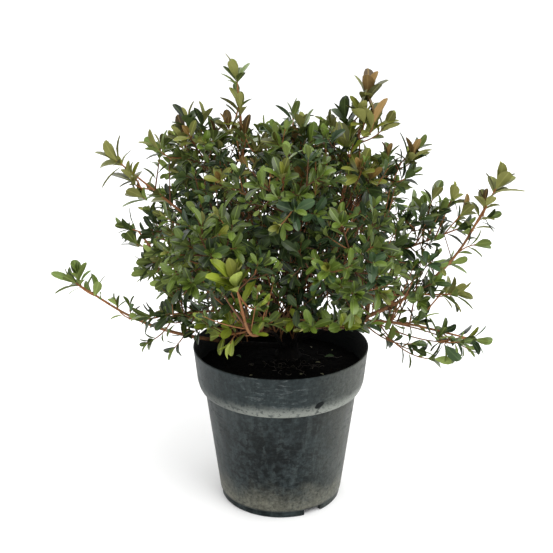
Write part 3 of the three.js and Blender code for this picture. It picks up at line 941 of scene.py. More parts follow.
@dataclass(frozen=True)
class LeafFinish:
    """One face of a leaf: its green, its paler midrib and its gloss."""

    name: str
    green: Colour
    rib: float
    roughness: float
    gloss: float

    def material(self) -> Material:
        """Make the face's material."""
        bench = Bench(self.name)
        where = bench.place()
        across, along, _ = bench.split(bench.add("UVMap", {}, uv_map="across_and_along").outputs["UV"])
        from_rib = bench.sum(across, 0.5, "SUBTRACT")
        from_rib = bench.add("Math", {0: from_rib}, operation="ABSOLUTE").outputs["Value"]
        rib = bench.range(from_rib, 0.025, 0.085, self.rib, 0)
        own = bench.add("Attribute", {}, attribute_name="leaf_shade").outputs["Fac"]
        shade = bench.sum(bench.times(own, 0.62), bench.times(bench.cloud(where, 55, 2), 0.38))
        light, pale = (
            tuple(min(1.0, part * gain + extra) for part, extra in zip(self.green, added))
            for gain, added in ((1.75, (0.014, 0.016, 0.006)), (2.0, (0.045, 0.05, 0.02)))
        )
        dark = tuple(part * 0.42 for part in self.green)
        green = bench.blend(bench.range(shade, 0.12, 0.88), dark, light)
        green = bench.blend(bench.range(along, 0.0, 0.45, 0.35, 0), green, pale)
        colour = bench.blend(rib, green, pale)
        mottle = bench.cloud(where, 900, 2)
        bench.relief(bench.sum(mottle, bench.times(rib, -1.0)), 0.00012, 0.6)
        return bench.coat(base_color=colour, roughness=self.roughness, specular_ior_level=self.gloss)


# ---------------------------------------------------------------- pot and compost
@dataclass
class Pot:
    """The nursery pot: a tapered wall, a wide collar under the rim, and a notched foot."""

    height: float = 176
    rim_radius: float = 95
    collar_radius: float = 91
    collar_height: float = 139
    ledge_radius: float = 88
    ledge_height: float = 130
    wall_top_radius: float = 83.4
    wall_foot_radius: float = 68.3
    wall_foot_height: float = 8.5
    foot_radius: float = 66.5
    foot_width: float = 5
    foot_height: float = 7
    pad_radius: float = 20
    middle_radius: float = 4
    wall: float = 1.5
    floor: float = 2.2
    notches: int = 3
    notch_width: float = 21
    notch_middle: float = 3.2
    first_notch: float = -58.5
    drain_holes: int = 4
    drain_radius: float = 5
    drain_circle: float = 42
    drain_sides: int = 24
    sides: int = 144
    smooth_under: float = 38
    # Place and size of the oval slot on the collar's bevel, painted as shade.
    shaded_slot_place: Point = (0.0392, -0.0829, 0.1425)
    shaded_slot_size: Point = (0.0056, 0.02, 0.0031)
    finish: PotPlastic = field(default_factory=PotPlastic)

    @property
    def floor_top(self) -> float:
        """The height of the floor inside."""
        return self.foot_height + self.floor

    def outside(self) -> list[tuple[float, float]]:
        """Radius and height of each ring from the pad up to the rim's inner edge.

        Returns:
            The rings, with each edge rounded by two or three of them.
        """
        pad, inner, foot = self.pad_radius, self.foot_radius - self.foot_width, self.foot_radius
        under, wall, low = self.foot_height, self.wall_foot_radius, self.wall_foot_height
        top, ledge, step = self.wall_top_radius, self.ledge_radius, self.ledge_height
        collar, band, rim, high = self.collar_radius, self.collar_height, self.rim_radius, self.height
        return [
            (self.middle_radius, 0), (pad - 0.6, 0), (pad, 0.6), (pad, under - 0.6), (pad + 0.6, under),
            (inner - 0.6, under), (inner, under - 0.6), (inner, 0.4), (inner + 0.4, 0),
            (foot - 0.7, 0), (foot, 0.7), (foot, under - 0.5),
            (wall - 0.3, low - 0.7), (wall, low + 0.5), (wall + 1.2, low + 10),
            (top - 0.1, step - 1.6), (top + 0.7, step - 0.8),
            (ledge - 1.2, step - 0.1), (ledge, step + 0.7), (ledge + 1.4, step + 3.5),
            (collar - 0.4, band - 1.2), (collar + 0.1, band + 0.8),
            (rim - 0.35, high - 1.6), (rim, high - 0.9), (rim - 0.1, high - 0.25), (rim - 0.45, high),
            (rim - self.wall + 0.35, high), (rim - self.wall, high - 0.4),
        ]

    def inside_radius(self, height: float) -> float:
        """The radius of the inner face at a height.

        Args:
            height: The height.

        Returns:
            The radius.
        """
        heights, radii = zip(
            (self.wall_foot_height, self.wall_foot_radius),
            (self.ledge_height - 1, self.wall_top_radius),
            (self.ledge_height + self.wall, self.ledge_radius),
            (self.collar_height, self.collar_radius),
            (self.height, self.rim_radius),
        )
        return float(np.interp(height, heights, radii)) - self.wall

    def inside(self) -> list[tuple[float, float]]:
        """Radius and height of each ring from the rim down to the middle of the floor.

        Returns:
            The rings.
        """
        ledge = self.ledge_height
        heights = (self.collar_height, ledge + self.wall, ledge - 1, self.floor_top + 1)
        rings = [(self.inside_radius(height), height) for height in heights]
        edge = self.inside_radius(self.floor_top) - 0.8
        return [*rings, (edge, self.floor_top), (self.middle_radius, self.floor_top)]

    def spots(self, count: int, radius: float, height: float) -> Iterator[tuple[float, Point]]:
        """Spread cutters evenly round the foot, from the first notch on.

        Args:
            count: How many there are.
            radius: How far they stand from the axis.
            height: How high their middles are.

        Yields:
            The turn of each in radians, and its place in metres.
        """
        for number in range(count):
            turn = math.radians(self.first_notch + 360 / count * number)
            yield turn, (radius * MM * math.cos(turn), radius * MM * math.sin(turn), height * MM)

    def build(self) -> Piece:
        """Turn the shell, then cut the notches and the drain holes.

        Returns:
            The pot's shell.
        """
        shell = turned("pot_shell", self.outside() + self.inside(), self.sides)
        notch = (self.foot_width * 5 * MM, self.notch_width * MM, self.foot_height * MM)
        for turn, place in self.spots(self.notches, self.foot_radius, self.notch_middle):
            bpy.ops.mesh.primitive_cube_add(size=1, location=place, rotation=(0, 0, turn), scale=notch)
            cut(shell, settle(bpy.context.active_object, "notch_cutter"))
        drill = {"radius": self.drain_radius * MM, "depth": self.height / 4 * MM}
        for _, place in self.spots(self.drain_holes, self.drain_circle, 0):
            bpy.ops.mesh.primitive_cylinder_add(vertices=self.drain_sides, location=place, **drill)
            cut(shell, settle(bpy.context.active_object, "drain_cutter"))
        pick(shell)
        bpy.ops.object.shade_smooth_by_angle(angle=math.radians(self.smooth_under))
        return shell

    def dress(self) -> Piece:
        """Build the pot and give it its finish and its place in the record.

        Returns:
            The finished pot.
        """
        shell = self.build()
        shell.data.materials.clear()  # the cutters leave an empty slot behind
        coat_with(shell, self.finish.material(self))
        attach(shell, "root")
        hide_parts("pot")
        return shell


@dataclass
class Compost:
    """The compost that fills the pot, with its crumbs.

    Each layer of lumps has its width, the level at which its noise is read, and its strength.
    """

    pot: Pot
    height: float = 152
    crown_radius: float = 34
    edge_drop: float = 3
    gap: float = 0.35
    lumps: float = 2.2
    layers: tuple[Point, ...] = ((16, 3.1, 0.6), (4.2, 8.4, 0.5), (1.7, 1.7, 0.28))
    rings: int = 62
    sides: int = 150
    crumbs: int = 620
    crumb_size: tuple[float, float] = (0.7, 2.6)
    finish: CompostFinish = field(default_factory=CompostFinish)
    crumb_finish: CompostFinish = CompostFinish((0.003, 0.0026, 0.0022), (0.04, 0.03, 0.02))

    @property
    def edge(self) -> float:
        """The radius of the top."""
        return self.pot.inside_radius(self.height) - self.gap

    def top_at(self, radius: float) -> float:
        """The mean height of the surface at a distance from the pot's axis."""
        share = max(0.0, (radius - self.crown_radius) / (self.edge - self.crown_radius))
        return self.height - self.edge_drop * share

    def surface_at(self, x: float, y: float) -> float:
        """The height of the lumpy surface at a place.

        Args:
            x: Millimetres to the right.
            y: Millimetres to the back.

        Returns:
            The height in millimetres.
        """
        lump = sum(
            share * noise.noise(Vector((x / width, y / width, level))) for width, level, share in self.layers
        )
        return self.top_at(math.hypot(x, y)) - 0.35 * self.lumps + self.lumps * lump

    def build(self) -> Piece:
        """Turn the body, and raise lumps on its top.

        Returns:
            The body of compost.
        """
        pot = self.pot
        low = pot.floor_top + self.gap
        shoulder = self.height - self.edge_drop - 3.5
        heights = (low, pot.ledge_height - 1, pot.ledge_height + pot.wall + 1, pot.collar_height, shoulder)
        walls = [(pot.inside_radius(height) - self.gap, height) for height in heights]
        rings = [(radius, self.top_at(radius)) for radius in np.linspace(self.edge - 0.2, 2.0, self.rings)]
        body = turned("compost_body", [(pot.middle_radius, low), *walls, *rings], self.sides)
        top = (self.height - self.edge_drop - 1) * MM
        with editing(body) as shape:
            for vertex in shape.verts:
                if vertex.co.z > top:
                    vertex.co.z = self.surface_at(vertex.co.x / MM, vertex.co.y / MM) * MM
            bmesh.update_edit_mesh(body.data)
        body.data.polygons.foreach_set("use_smooth", [True] * len(body.data.polygons))
        return body

    def crumb_piece(self, chance: Chance) -> Piece:
        """Scatter small chips of bark and peat over the surface, as one mesh.

        Args:
            chance: The source of their differences.

        Returns:
            The chips.
        """
        corners = np.array([[1, 0, 0], [0, 1, 0], [-1, 0, 0], [0, -1, 0], [0, 0, 1], [0, 0, -1]], float)
        upper = [(side, (side + 1) % 4, 4) for side in range(4)]
        sides = np.array(upper + [(after, side, 5) for side, after, _ in upper])
        points, faces = [], []
        edge = self.pot.inside_radius(self.height) - 4
        for number in range(self.crumbs):
            radius = edge * math.sqrt(chance.random())
            turn = chance.random() * 2 * math.pi
            x, y = radius * math.cos(turn), radius * math.sin(turn)
            size = chance.uniform(*self.crumb_size)
            size = size * np.array([1.0, chance.uniform(0.35, 0.8), chance.uniform(0.25, 0.5)])
            spin = chance.random() * 2 * math.pi
            shape = corners * chance.uniform(0.75, 1.25, (6, 1)) * size
            turned_x = shape[:, 0] * math.cos(spin) - shape[:, 1] * math.sin(spin)
            turned_y = shape[:, 0] * math.sin(spin) + shape[:, 1] * math.cos(spin)
            height = self.surface_at(x, y) + shape[:, 2] + chance.uniform(-0.35, 0.35) * turned_x
            points.append(np.column_stack([turned_x + x, turned_y + y, height]))
            faces.append(sides + 6 * number)
        return mesh_piece("compost_crumbs", np.vstack(points), np.vstack(faces))

    def dress(self, chance: Chance) -> list[Piece]:
        """Build the compost and its crumbs, and give them their finish.

        Args:
            chance: The source of the crumbs' differences.

        Returns:
            The pieces.
        """
        body = self.build()
        crumbs = self.crumb_piece(chance)
        for piece, finish in ((body, self.finish), (crumbs, self.crumb_finish)):
            coat_with(piece, finish.material())
            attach(piece, "root")
        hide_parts("compost")
        return [body, crumbs]


# ---------------------------------------------------------------- trunk and boughs
@dataclass
class Limbs:
    """The trunk and the boughs, as one skin of bark."""

    foot: Point = (8, 25, 152.3)
    lean: Point = (1.5, -2, 31)
    bough_offset: float = 5.2
    profile: tuple[tuple[float, float], ...] = (
        (13, -1.2), (15.5, -0.4), (16, 0), (12.4, 4.5), (10.6, 11), (10.4, 19), (9.6, 25), (6, 30), (2.5, 31),
    )
    trunk_radius: float = 10.5
    base_radius: float = 2.8
    fork_radius: float = 2.0
    tip_radius: float = 1.4
    voxel: float = 0.85
    ridges: float = 0.55
    knobs: float = 0.3
    # Near-black within the crown's heart: painted shade on the trunk and the inner boughs.
    bark: Bark = Bark(
        "bough_bark", (0.0022, 0.0018, 0.0016), (0.28, 0.135, 0.062), (0.09, 0.055, 0.035),
        150, 0.84, 0.0006, 88,
    )
    curves: dict[str, list[Array]] = field(default_factory=dict)

    @property
    def heart(self) -> Point:
        """The place in the trunk from which the bark's darkening, partly older bark and partly painted shade,
        is measured, in metres.
        """
        return tuple(self.trunk_point(0.4) * MM)

    def trunk_point(self, share: float) -> Array:
        """A point on the trunk's leaning axis, from 0 at the cut to 1 at the head."""
        return np.array(self.foot) + share * np.array(self.lean)

    def lay_out(self) -> None:
        """Work out the curve of each bough by the rule that the solids follow."""
        for mass in MASSES:
            parent = self.curves.get(mass.parent)
            start = bezier(parent, [mass.at])[0] if parent else self.trunk_point(mass.at)
            across = mass.entry - start
            reach = float(np.linalg.norm(across))
            azimuth = math.degrees(math.atan2(across[1], across[0]))
            if parent is None:
                start = start + self.bough_offset * aim(azimuth, 0)
            self.curves[mass.name] = [
                start,
                start + aim(azimuth, mass.leave) * reach * 0.36,
                mass.entry - mass.along * reach * 0.34,
                mass.entry,
            ]

    def radius_at(self, mass: Mass, share: float) -> float:
        """The bough's radius at a share of its length."""
        first = self.base_radius if mass.parent == "trunk" else self.fork_radius
        return first + (self.tip_radius - first) * share

    def samples(self) -> tuple[Array, Array]:
        """Points along every limb, and the limb's radius at each.

        Returns:
            One row for each point, and one radius for each.
        """
        shares = np.linspace(0, 1, 40)
        points = [bezier(self.curves[mass.name], shares) for mass in MASSES]
        radii = [np.array([self.radius_at(mass, share) for share in shares]) for mass in MASSES]
        trunk = np.array([self.trunk_point(share) for share in np.linspace(0, 1, 8)])
        return np.vstack([*points, trunk]), np.concatenate([*radii, np.full(8, self.trunk_radius)])

    def sweep(self, sheet: bpy.types.Curve, places: Array, radii: list[float]) -> None:
        """Add one limb's path to a sheet of curves.

        Args:
            sheet: The curves.
            places: Its points, in millimetres.
            radii: Its radius at each.
        """
        path = sheet.splines.new("POLY")
        path.points.add(len(places) - 1)
        for point, place, radius in zip(path.points, places, radii):
            point.co = (*(place * MM), 1)
            point.radius = radius

    def build(self) -> Piece:
        """Sweep every limb, fuse them into one skin and raise the bark's relief.

        Returns:
            The limbs.
        """
        sheet = bpy.data.curves.new("limb_paths", "CURVE")
        sheet.dimensions = "3D"
        sheet.bevel_depth = MM
        sheet.bevel_resolution = 3
        sheet.use_fill_caps = True
        shares = np.linspace(0, 1, 22)
        for number, mass in enumerate(MASSES):
            radii = []
            for share in shares:
                wander = noise.noise(Vector((number * 3.7, share * 6.0, 0.4)))
                swell = 1 + 0.75 * math.exp(-share * 16)
                radii.append(self.radius_at(mass, share) * (1 + 0.14 * wander) * swell)
            self.sweep(sheet, bezier(self.curves[mass.name], shares), radii)
        trunk = [self.trunk_point(height / self.lean[2]) for _, height in self.profile]
        self.sweep(sheet, trunk, [radius for radius, _ in self.profile])
        paths = bpy.data.objects.new("limb_paths", sheet)
        bpy.context.scene.collection.objects.link(paths)
        pick(paths)
        bpy.ops.object.convert(target="MESH")
        limbs = settle(bpy.context.active_object, "trunk_and_boughs")
        finish_with(limbs, "REMESH", mode="VOXEL", voxel_size=self.voxel * MM)
        self.raise_bark(limbs)
        return limbs

    def raise_bark(self, limbs: Piece) -> None:
        """Raise ridges and knobs of bark, strongest on the trunk.

        Args:
            limbs: The fused limbs.
        """
        mesh = limbs.data
        middle = Vector(self.trunk_point(0.5) * MM)
        with editing(limbs) as shape:
            shape.normal_update()
            shifts = []
            for vertex in shape.verts:
                place = vertex.co / MM
                old = max(0.25, 1.6 - (vertex.co - middle).length / MM / 60)
                grain = noise.noise(Vector((place.x / 2.1, place.y / 2.1, place.z / 6.5)))
                knob = noise.noise(place / 7.5)
                shifts.append(vertex.normal * ((grain * self.ridges + knob * self.knobs) * old * MM))
            for vertex, shift in zip(shape.verts, shifts):
                vertex.co += shift
            bmesh.update_edit_mesh(mesh)
        mesh.polygons.foreach_set("use_smooth", [True] * len(mesh.polygons))

    def dress(self) -> Piece:
        """Build the limbs and give them their bark and their place in the record.

        Returns:
            The finished limbs.
        """
        limbs = self.build()
        coat_with(limbs, self.bark.material(self.heart))
        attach(limbs, "root")
        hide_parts("trunk", *(f"bough_{mass.name}" for mass in MASSES))
        return limbs


# ---------------------------------------------------------------- twigs and leaves
@dataclass
class TwigBatch:
    """Tapered twigs of one kind, gathered for one joined mesh."""

    name: str
    sides: int = 5
    points: list[Array] = field(default_factory=list)
    faces: list[Array] = field(default_factory=list)
    count: int = 0

    def add(self, line: Array, radii: Array) -> None:
        """Sweep one twig along a line and close both of its ends.

        Args:
            line: Points from its root to its tip.
            radii: Its radius at each.
        """
        runs = unit(np.gradient(line, axis=0))
        across = unit(np.cross(runs[0], [0.31, 0.17, 0.93]))
        turns = np.arange(self.sides) * 2 * math.pi / self.sides
        rings = []
        for place, run, radius in zip(line, runs, radii):
            across = unit(across - run * across.dot(run))
            rim = np.outer(np.cos(turns), across) + np.outer(np.sin(turns), np.cross(run, across))
            rings.append(place + rim * radius)
        last = line[-1] + runs[-1] * radii[-1] * 1.6
        points = np.vstack([*rings, line[:1], last[None]])
        faces = []
        for start in range(0, (len(line) - 1) * self.sides, self.sides):
            for side in range(self.sides):
                a, b = start + side, start + (side + 1) % self.sides
                faces += [(a, b, b + self.sides), (a, b + self.sides, a + self.sides)]
        root, tip = len(points) - 2, len(points) - 1
        top = root - self.sides
        for side in range(self.sides):
            after = (side + 1) % self.sides
            faces += [(root, after, side), (tip, top + side, top + after)]
        self.points.append(points)
        self.faces.append(np.array(faces) + self.count)
        self.count += len(points)

    def piece(self) -> Piece:
        """Join the twigs into one piece."""
        return mesh_piece(self.name, np.vstack(self.points), np.vstack(self.faces))


@dataclass(frozen=True)
class LeafForm:
    """A leaf's outline and hollow, as shares of its length and width."""

    stations: tuple[float, ...] = (0.1, 0.3, 0.55, 0.79, 0.94)
    halves: tuple[float, ...] = (0.2, 0.66, 1.0, 0.9, 0.54)
    thickness: float = 0.3
    hollow: float = 0.05

    def faces(self) -> tuple[Array, Array]:
        """The triangles of one leaf, and the side of each.

        Returns:
            The triangles, and their sides: 0 and 2 for the halves of the upper face, 1 for the under.
        """
        upper, under, halves = [], [], []
        for left in range(1, 4 * len(self.stations) - 3, 4):
            rib, right, back = left + 1, left + 2, left + 3
            for a, b in ((left, rib), (rib, right)):
                upper += [(a, b, b + 4), (a, b + 4, a + 4)]
            halves += [0, 0, 2, 2]
            for a, b in ((right, back), (back, left)):
                under += [(a, b, b + 4), (a, b + 4, a + 4)]
        tip = 4 * len(self.stations) + 1
        upper += [(0, 2, 1), (0, 3, 2), (tip, tip - 4, tip - 3), (tip, tip - 3, tip - 2)]
        under += [(0, 4, 3), (0, 1, 4), (tip, tip - 2, tip - 1), (tip, tip - 1, tip - 4)]
        halves += [0, 2, 0, 2]
        return np.array(upper + under), np.array(halves + [1] * len(under))

    def points(
        self, roots: Array, ways: Array, tops: Array, sizes: Array, folds: Array
    ) -> tuple[Array, Array]:
        """The points of many leaves and the UV place of each.

        Args:
            roots: Where each leaf leaves its twig.
            ways: The direction in which each leaf leaves.
            tops: The direction in which each upper face looks.
            sizes: Length and width of each leaf.
            folds: How much each leaf's halves rise from its midrib, and its droop.

        Returns:
            The points of all leaves in turn, and their UV places.
        """
        sides = unit(np.cross(ways, tops))
        tops = np.cross(sides, ways)
        length, half = sizes[:, :1], sizes[:, 1:] / 2
        rows, places = [roots], [(0.5, 0.0)]
        for share, wide in zip(self.stations, self.halves):
            bend = tops * length * (self.hollow * math.sin(math.pi * share) - folds[:, 1:] * share**2)
            rib = roots + ways * length * share + bend
            wing = sides * half * wide
            rise = tops * half * wide * folds[:, :1]
            rows += [rib - wing + rise, rib, rib + wing + rise, rib - tops * self.thickness]
            places += [(0.5 - wide / 2, share), (0.5, share), (0.5 + wide / 2, share), (0.5, share)]
        rows.append(roots + ways * length - tops * length * folds[:, 1:])
        places.append((0.5, 1.0))
        return np.stack(rows, axis=1).reshape(-1, 3), np.tile(np.array(places), (len(roots), 1))

    def piece(self, name: str, leaves: list[Array], shades: Array) -> Piece:
        """Join leaves of this form into one mesh.

        Args:
            name: The piece's name.
            leaves: Their roots, ways, tops, sizes and folds.
            shades: One shade for each.

        Returns:
            The piece, each face set for its upper or its under material.
        """
        points, uvs = self.points(*leaves)
        one, sides = self.faces()
        count, each = len(shades), 2 + 4 * len(self.stations)
        faces = (one[None] + (np.arange(count) * each)[:, None, None]).reshape(-1, 3)
        return mesh_piece(name, points, faces, uvs, np.tile(sides, count), np.repeat(shades, each))


@dataclass
class Spray:
    """The leaves dealt to one tint, gathered for one joined mesh.

    Each leaf has its root, way, top, size, fold and shade.
    """

    tint: Tint
    leaves: list[tuple] = field(default_factory=list)
    most: int = 4800

    def pieces(self, form: LeafForm) -> list[Piece]:
        """Join the leaves into a few pieces with an upper and an under face.

        Args:
            form: The outline that they share.

        Returns:
            The finished leaves of this tint.
        """
        tint = self.tint
        upper = LeafFinish(f"leaf_upper_{tint.label}", tint.upper, 0.62, tint.roughness, tint.gloss)
        under = LeafFinish(f"leaf_under_{tint.label}", tint.under, 0.4, 0.62, 0.1)
        finishes = (upper.material(), under.material())
        pieces = []
        for first in range(0, len(self.leaves), self.most):
            *parts, shades = (np.array(part) for part in zip(*self.leaves[first:first + self.most]))
            pieces.append(form.piece(f"leaves_{tint.label}_{len(pieces) + 1}", parts, shades))
            coat_with(pieces[-1], *finishes)
        return pieces


@dataclass
class Litter:
    """What lies on the compost: curled rootlets, a few fallen leaves and pale husks.

    A husk has its place, and a fallen leaf its place and its turn in radians.
    """

    compost: Compost
    form: LeafForm = LeafForm()
    rootlets: int = 44
    rootlet_radius: tuple[float, float] = (0.16, 0.32)
    heart: tuple[float, float] = (10.0, 2.0)
    husks: tuple[tuple[float, float], ...] = (
        (37.7, 4.5), (35.8, 46.6), (23.7, -24.7), (42.0, -25.5), (58.0, 40.0), (-30.0, -30.0),
    )
    leaves: tuple[Point, ...] = ((49.0, 22.0, 0.3), (-44.0, 18.0, 2.2), (12.0, 62.0, 4.0))
    leaf_sizes: tuple[tuple[float, float], ...] = ((11.5, 5.5), (9.0, 4.4), (10.0, 4.2))
    leaf_green: Colour = (0.03, 0.06, 0.022)
    husk_green: Colour = (0.1, 0.095, 0.06)
    rootlet_bark: Bark = Bark(
        "rootlet_skin", (0.045, 0.04, 0.034), (0.11, 0.1, 0.085), (0.14, 0.13, 0.11), 90, 0.8, 0.0001
    )

    def rootlet_piece(self, chance: Chance) -> Piece:
        """Lay thin curled roots over the surface, thickest near their heart.

        Args:
            chance: The source of their differences.

        Returns:
            The rootlets, as one piece.
        """
        batch = TwigBatch("compost_rootlets", sides=4)
        edge = self.compost.pot.inside_radius(self.compost.height) - 5
        for number in range(self.rootlets):
            x, y = np.array(self.heart) + chance.normal(0, 15 if number % 3 > 0 else 42, 2)
            turn, curl = chance.uniform(0, 2 * math.pi), chance.normal(0, 0.32)
            line = []
            for step in range(int(chance.integers(8, 16))):
                if math.hypot(x, y) > edge:
                    break
                rise = 0.35 + 1.3 * abs(math.sin(step * 0.55 + number))
                line.append((x, y, self.compost.surface_at(x, y) + rise))
                turn += curl + chance.normal(0, 0.25)
                x += 1.6 * math.cos(turn)
                y += 1.6 * math.sin(turn)
            if len(line) > 4:
                radius = chance.uniform(*self.rootlet_radius)
                batch.add(np.array(line), np.linspace(radius, 0.5 * radius, len(line)))
        return batch.piece()

    def leaf_piece(self, name: str, places: Array, sizes: Array) -> Piece:
        """Lay leaves or husks flat on the surface.

        Args:
            name: The piece's name.
            places: Place and compass angle of each, in millimetres and radians.
            sizes: Length and width of each.

        Returns:
            The piece, each face set for its upper or its under material.
        """
        x, y, turn = places.T
        count = len(turn)
        roots = np.column_stack([x, y, [self.compost.surface_at(*place[:2]) + 1.1 for place in places]])
        ways = unit(np.column_stack([np.cos(turn), np.sin(turn), np.full(count, 0.06)]))
        tops = np.tile(unit(np.array([0.1, -0.2, 1.0])), (count, 1))
        folds = np.tile((0.3, 0.1), (count, 1))
        return self.form.piece(name, [roots, ways, tops, sizes, folds], np.linspace(0.3, 0.7, count))

    def dress(self, chance: Chance) -> list[Piece]:
        """Lay out the litter and give it its finishes.

        Args:
            chance: The source of its differences.

        Returns:
            The pieces.
        """
        rootlets = self.rootlet_piece(chance)
        coat_with(rootlets, self.rootlet_bark.material((0.01, 0.02, 0.152)))
        fallen = self.leaf_piece("fallen_leaves", np.array(self.leaves), np.array(self.leaf_sizes))
        places = np.array([(*place, number * 1.9) for number, place in enumerate(self.husks)])
        sizes = np.array([(6.0 - 0.5 * number, 2.6 - 0.2 * number) for number in range(len(self.husks))])
        husks = self.leaf_piece("pale_husks", places, sizes)
        for piece, green in ((fallen, self.leaf_green), (husks, self.husk_green)):
            faces = [LeafFinish(f"{piece.name}_{side}", green, 0.3, 0.6, 0.16) for side in ("upper", "under")]
            coat_with(piece, *(face.material() for face in faces))
        pieces = [rootlets, fallen, husks]
        for piece in pieces:
            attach(piece, "root")
            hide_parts("compost")
        return pieces


@dataclass
class Crown:
    """The twigs and leaves that grow on from the boughs, mass by mass.

    Slopes and spreads are in degrees, and a pair is the range from which chance draws.
    """

    limbs: Limbs
    pot: Pot
    form: LeafForm = LeafForm()
    leaf_length: tuple[float, float] = (15.0, 24.0)
    leaf_width: float = 0.42
    width_range: tuple[float, float] = (0.85, 1.15)
    fold_range: tuple[float, float] = (0.1, 0.4)
    droop_range: tuple[float, float] = (-0.04, 0.14)
    leaf_to_light: float = 0.35
    leaf_scatter: float = 0.12
    leaf_stalk: float = 0.5
    inner_slope: float = 15
    slope_scatter: float = 8
    whorl_length: float = 7.5
    whorl_inner: float = 0.6
    below_whorl: float = 9.0
    bare_foot: float = 3.0
    single_slope: tuple[float, float] = (40, 72)
    single_size: tuple[float, float] = (0.7, 0.96)
    bud_length: float = 2.2
    shoots_per_reach: float = 0.2
    spread: float = 50
    spread_at_foot: float = 34
    lift: float = 0.22
    spacing: float = 12.0
    least_length: float = 9.0
    shoot_inset: float = 13
    shoot_clothed: float = 46
    leader_least: float = 26.0
    leader_clothed: float = 48
    side_step: float = 15
    side_slope: tuple[float, float] = (34, 64)
    side_room: float = 60
    side_inset: float = 8
    side_length: tuple[float, float] = (16, 40)
    side_lift: float = 0.18
    side_size: float = 0.94
    bough_step: float = 10
    fine_slope: tuple[float, float] = (38, 76)
    fine_length: tuple[float, float] = (26, 70)
    long_length: tuple[float, float] = (60, 120)
    fine_lift: float = 0.16
    fine_clothed: float = 20
    fine_size: tuple[float, float] = (0.5, 0.82)
    canes_per_bough: int = 9
    cane_length: tuple[float, float] = (70, 135)
    cane_lift: float = 0.12
    cane_clothed: float = 12
    cane_size: float = 0.62
    shade_middle: float = 10
    shade_half_width: float = 130
    shade_back: float = 50
    shade_height: float = 280
    bare_share: float = 0.54
    # The core of the crown, whose leaves take deep greens as painted shade, and its reach.
    shaded_core_middle: Point = (10, 10, 300)
    shaded_core_reach: Point = (210, 160, 150)
    sunlit_from: float = 320
    sunlit_over: float = 120
    hem: float = 197
    hem_rise: float = 0.41
    hem_left: float = -48
    hem_right: float = 104
    hem_front: float = -30
    hem_back: float = 24
    mouth_height: float = 150
    over_compost: float = 153
    stem_radius: float = 1.45
    stem_end_radius: float = 0.8
    shoot_radius: float = 0.95
    cane_radius: float = 1.0
    twig_radius: float = 0.65
    end_radius: float = 0.45
    twig_clearance: float = 0.8
    leaf_clearance: float = 1.5
    plane_gap: float = 0.25
    past_box: float = 5
    # The near colours, darker by the trunk, are partly painted shade of the crown's heart.
    old_bark: Bark = Bark(
        "twig_bark_old", (0.016, 0.01, 0.008), (0.15, 0.068, 0.034), (0.13, 0.078, 0.05), 230, 0.75, 0.0003
    )
    young_bark: Bark = Bark(
        "twig_bark_young", (0.16, 0.078, 0.034), (0.29, 0.12, 0.046), (0.34, 0.19, 0.09), 260, 0.55, 0.0002
    )
    tips: list[Array] = field(default_factory=list)

    def __post_init__(self) -> None:
        """Lay out what the rule of growth reads again and again."""
        self.chance = np.random.default_rng(SEED)
        self.middles = np.array([mass.middle for mass in MASSES])
        self.powers = np.array([mass.reach for mass in MASSES], float) ** 2
        self.limb_points, self.limb_radii = self.limbs.samples()
        self.old = TwigBatch("twigs_old")
        self.young = TwigBatch("twigs_young")
        self.sprays = {tint: Spray(tint) for tint in Tint}
        self.low = np.array(CAD_BOX[0]) / MM - self.past_box
        self.high = np.array(CAD_BOX[1]) / MM + self.past_box

    def in_space(self, points: Array, index: int) -> Array:
        """Whether points lie in a mass's ball, and clear of the planes between neighbours.

        Args:
            points: One row for each point.
            index: The mass's number.

        Returns:
            One truth for each point.
        """
        powers = ((points[:, None] - self.middles[None]) ** 2).sum(axis=2) - self.powers
        own = powers[:, index]
        apart = 2 * np.linalg.norm(self.middles - self.middles[index], axis=1)
        others = np.arange(len(MASSES)) != index
        room = (powers[:, others] - own[:, None]) / apart[others]
        return (own < 0) & (room > self.plane_gap).all(axis=1)

    def is_clear(self, points: Array, margin: float) -> bool:
        """Whether points all keep a margin to the limbs, the pot and the compost.

        Args:
            points: One row for each point.
            margin: The least distance.

        Returns:
            Whether they do.
        """
        apart = np.linalg.norm(points[:, None] - self.limb_points[None], axis=2) - self.limb_radii
        free = (apart > margin).all(axis=1)
        out = np.hypot(points[:, 0], points[:, 1])
        above = points[:, 2] > self.pot.height + margin
        outside = out > self.pot.rim_radius + margin
        mouth = self.pot.inside_radius(self.mouth_height)
        within = (out < mouth - margin) & (points[:, 2] > self.over_compost + margin)
        inside_box = ((points > self.low) & (points < self.high)).all(axis=1)
        return bool((free & (above | outside | within) & inside_box).all())

    def in_outline(self, point: Array, inset: float) -> bool:
        """Whether a point lies inside the crown's outline, seen from the front.

        Args:
            point: The point.
            inset: How far inside it lies, towards the crown's middle.

        Returns:
            Whether it does.
        """
        eye = np.array(Studio.camera_place) / MM
        share = -eye[1] / (point[1] - eye[1])
        seen = eye[[0, 2]] + (point[[0, 2]] - eye[[0, 2]]) * share
        across, height = seen + unit(seen - CROWN_MIDDLE) * inset
        inside = False
        for (x, z), (next_x, next_z) in zip(CROWN_CORNERS, CROWN_CORNERS[1:] + CROWN_CORNERS[:1]):
            if (z > height) != (next_z > height):
                inside ^= bool(across < x + (next_x - x) * (height - z) / (next_z - z))
        return inside

    def hangs_low(self, point: Array) -> bool:
        """Whether a point hangs before the pot's mouth, below the hem of the front shoots.

        Args:
            point: The point.

        Returns:
            Whether it does.
        """
        x, y, z = point
        before = self.hem_left < x < self.hem_right and y < self.hem_back
        return bool(before and z < self.hem - self.hem_rise * (y - self.hem_front))

    def is_bare(self, tip: Array) -> bool:
        """Whether a twig in the shade low in the middle has shed its leaves.

        Args:
            tip: The twig's end.

        Returns:
            Whether it is bare.
        """
        x, y, z = tip
        inner = abs(x - self.shade_middle) < self.shade_half_width and y < self.shade_back
        return bool(inner and z < self.shade_height) and self.chance.random() < self.bare_share

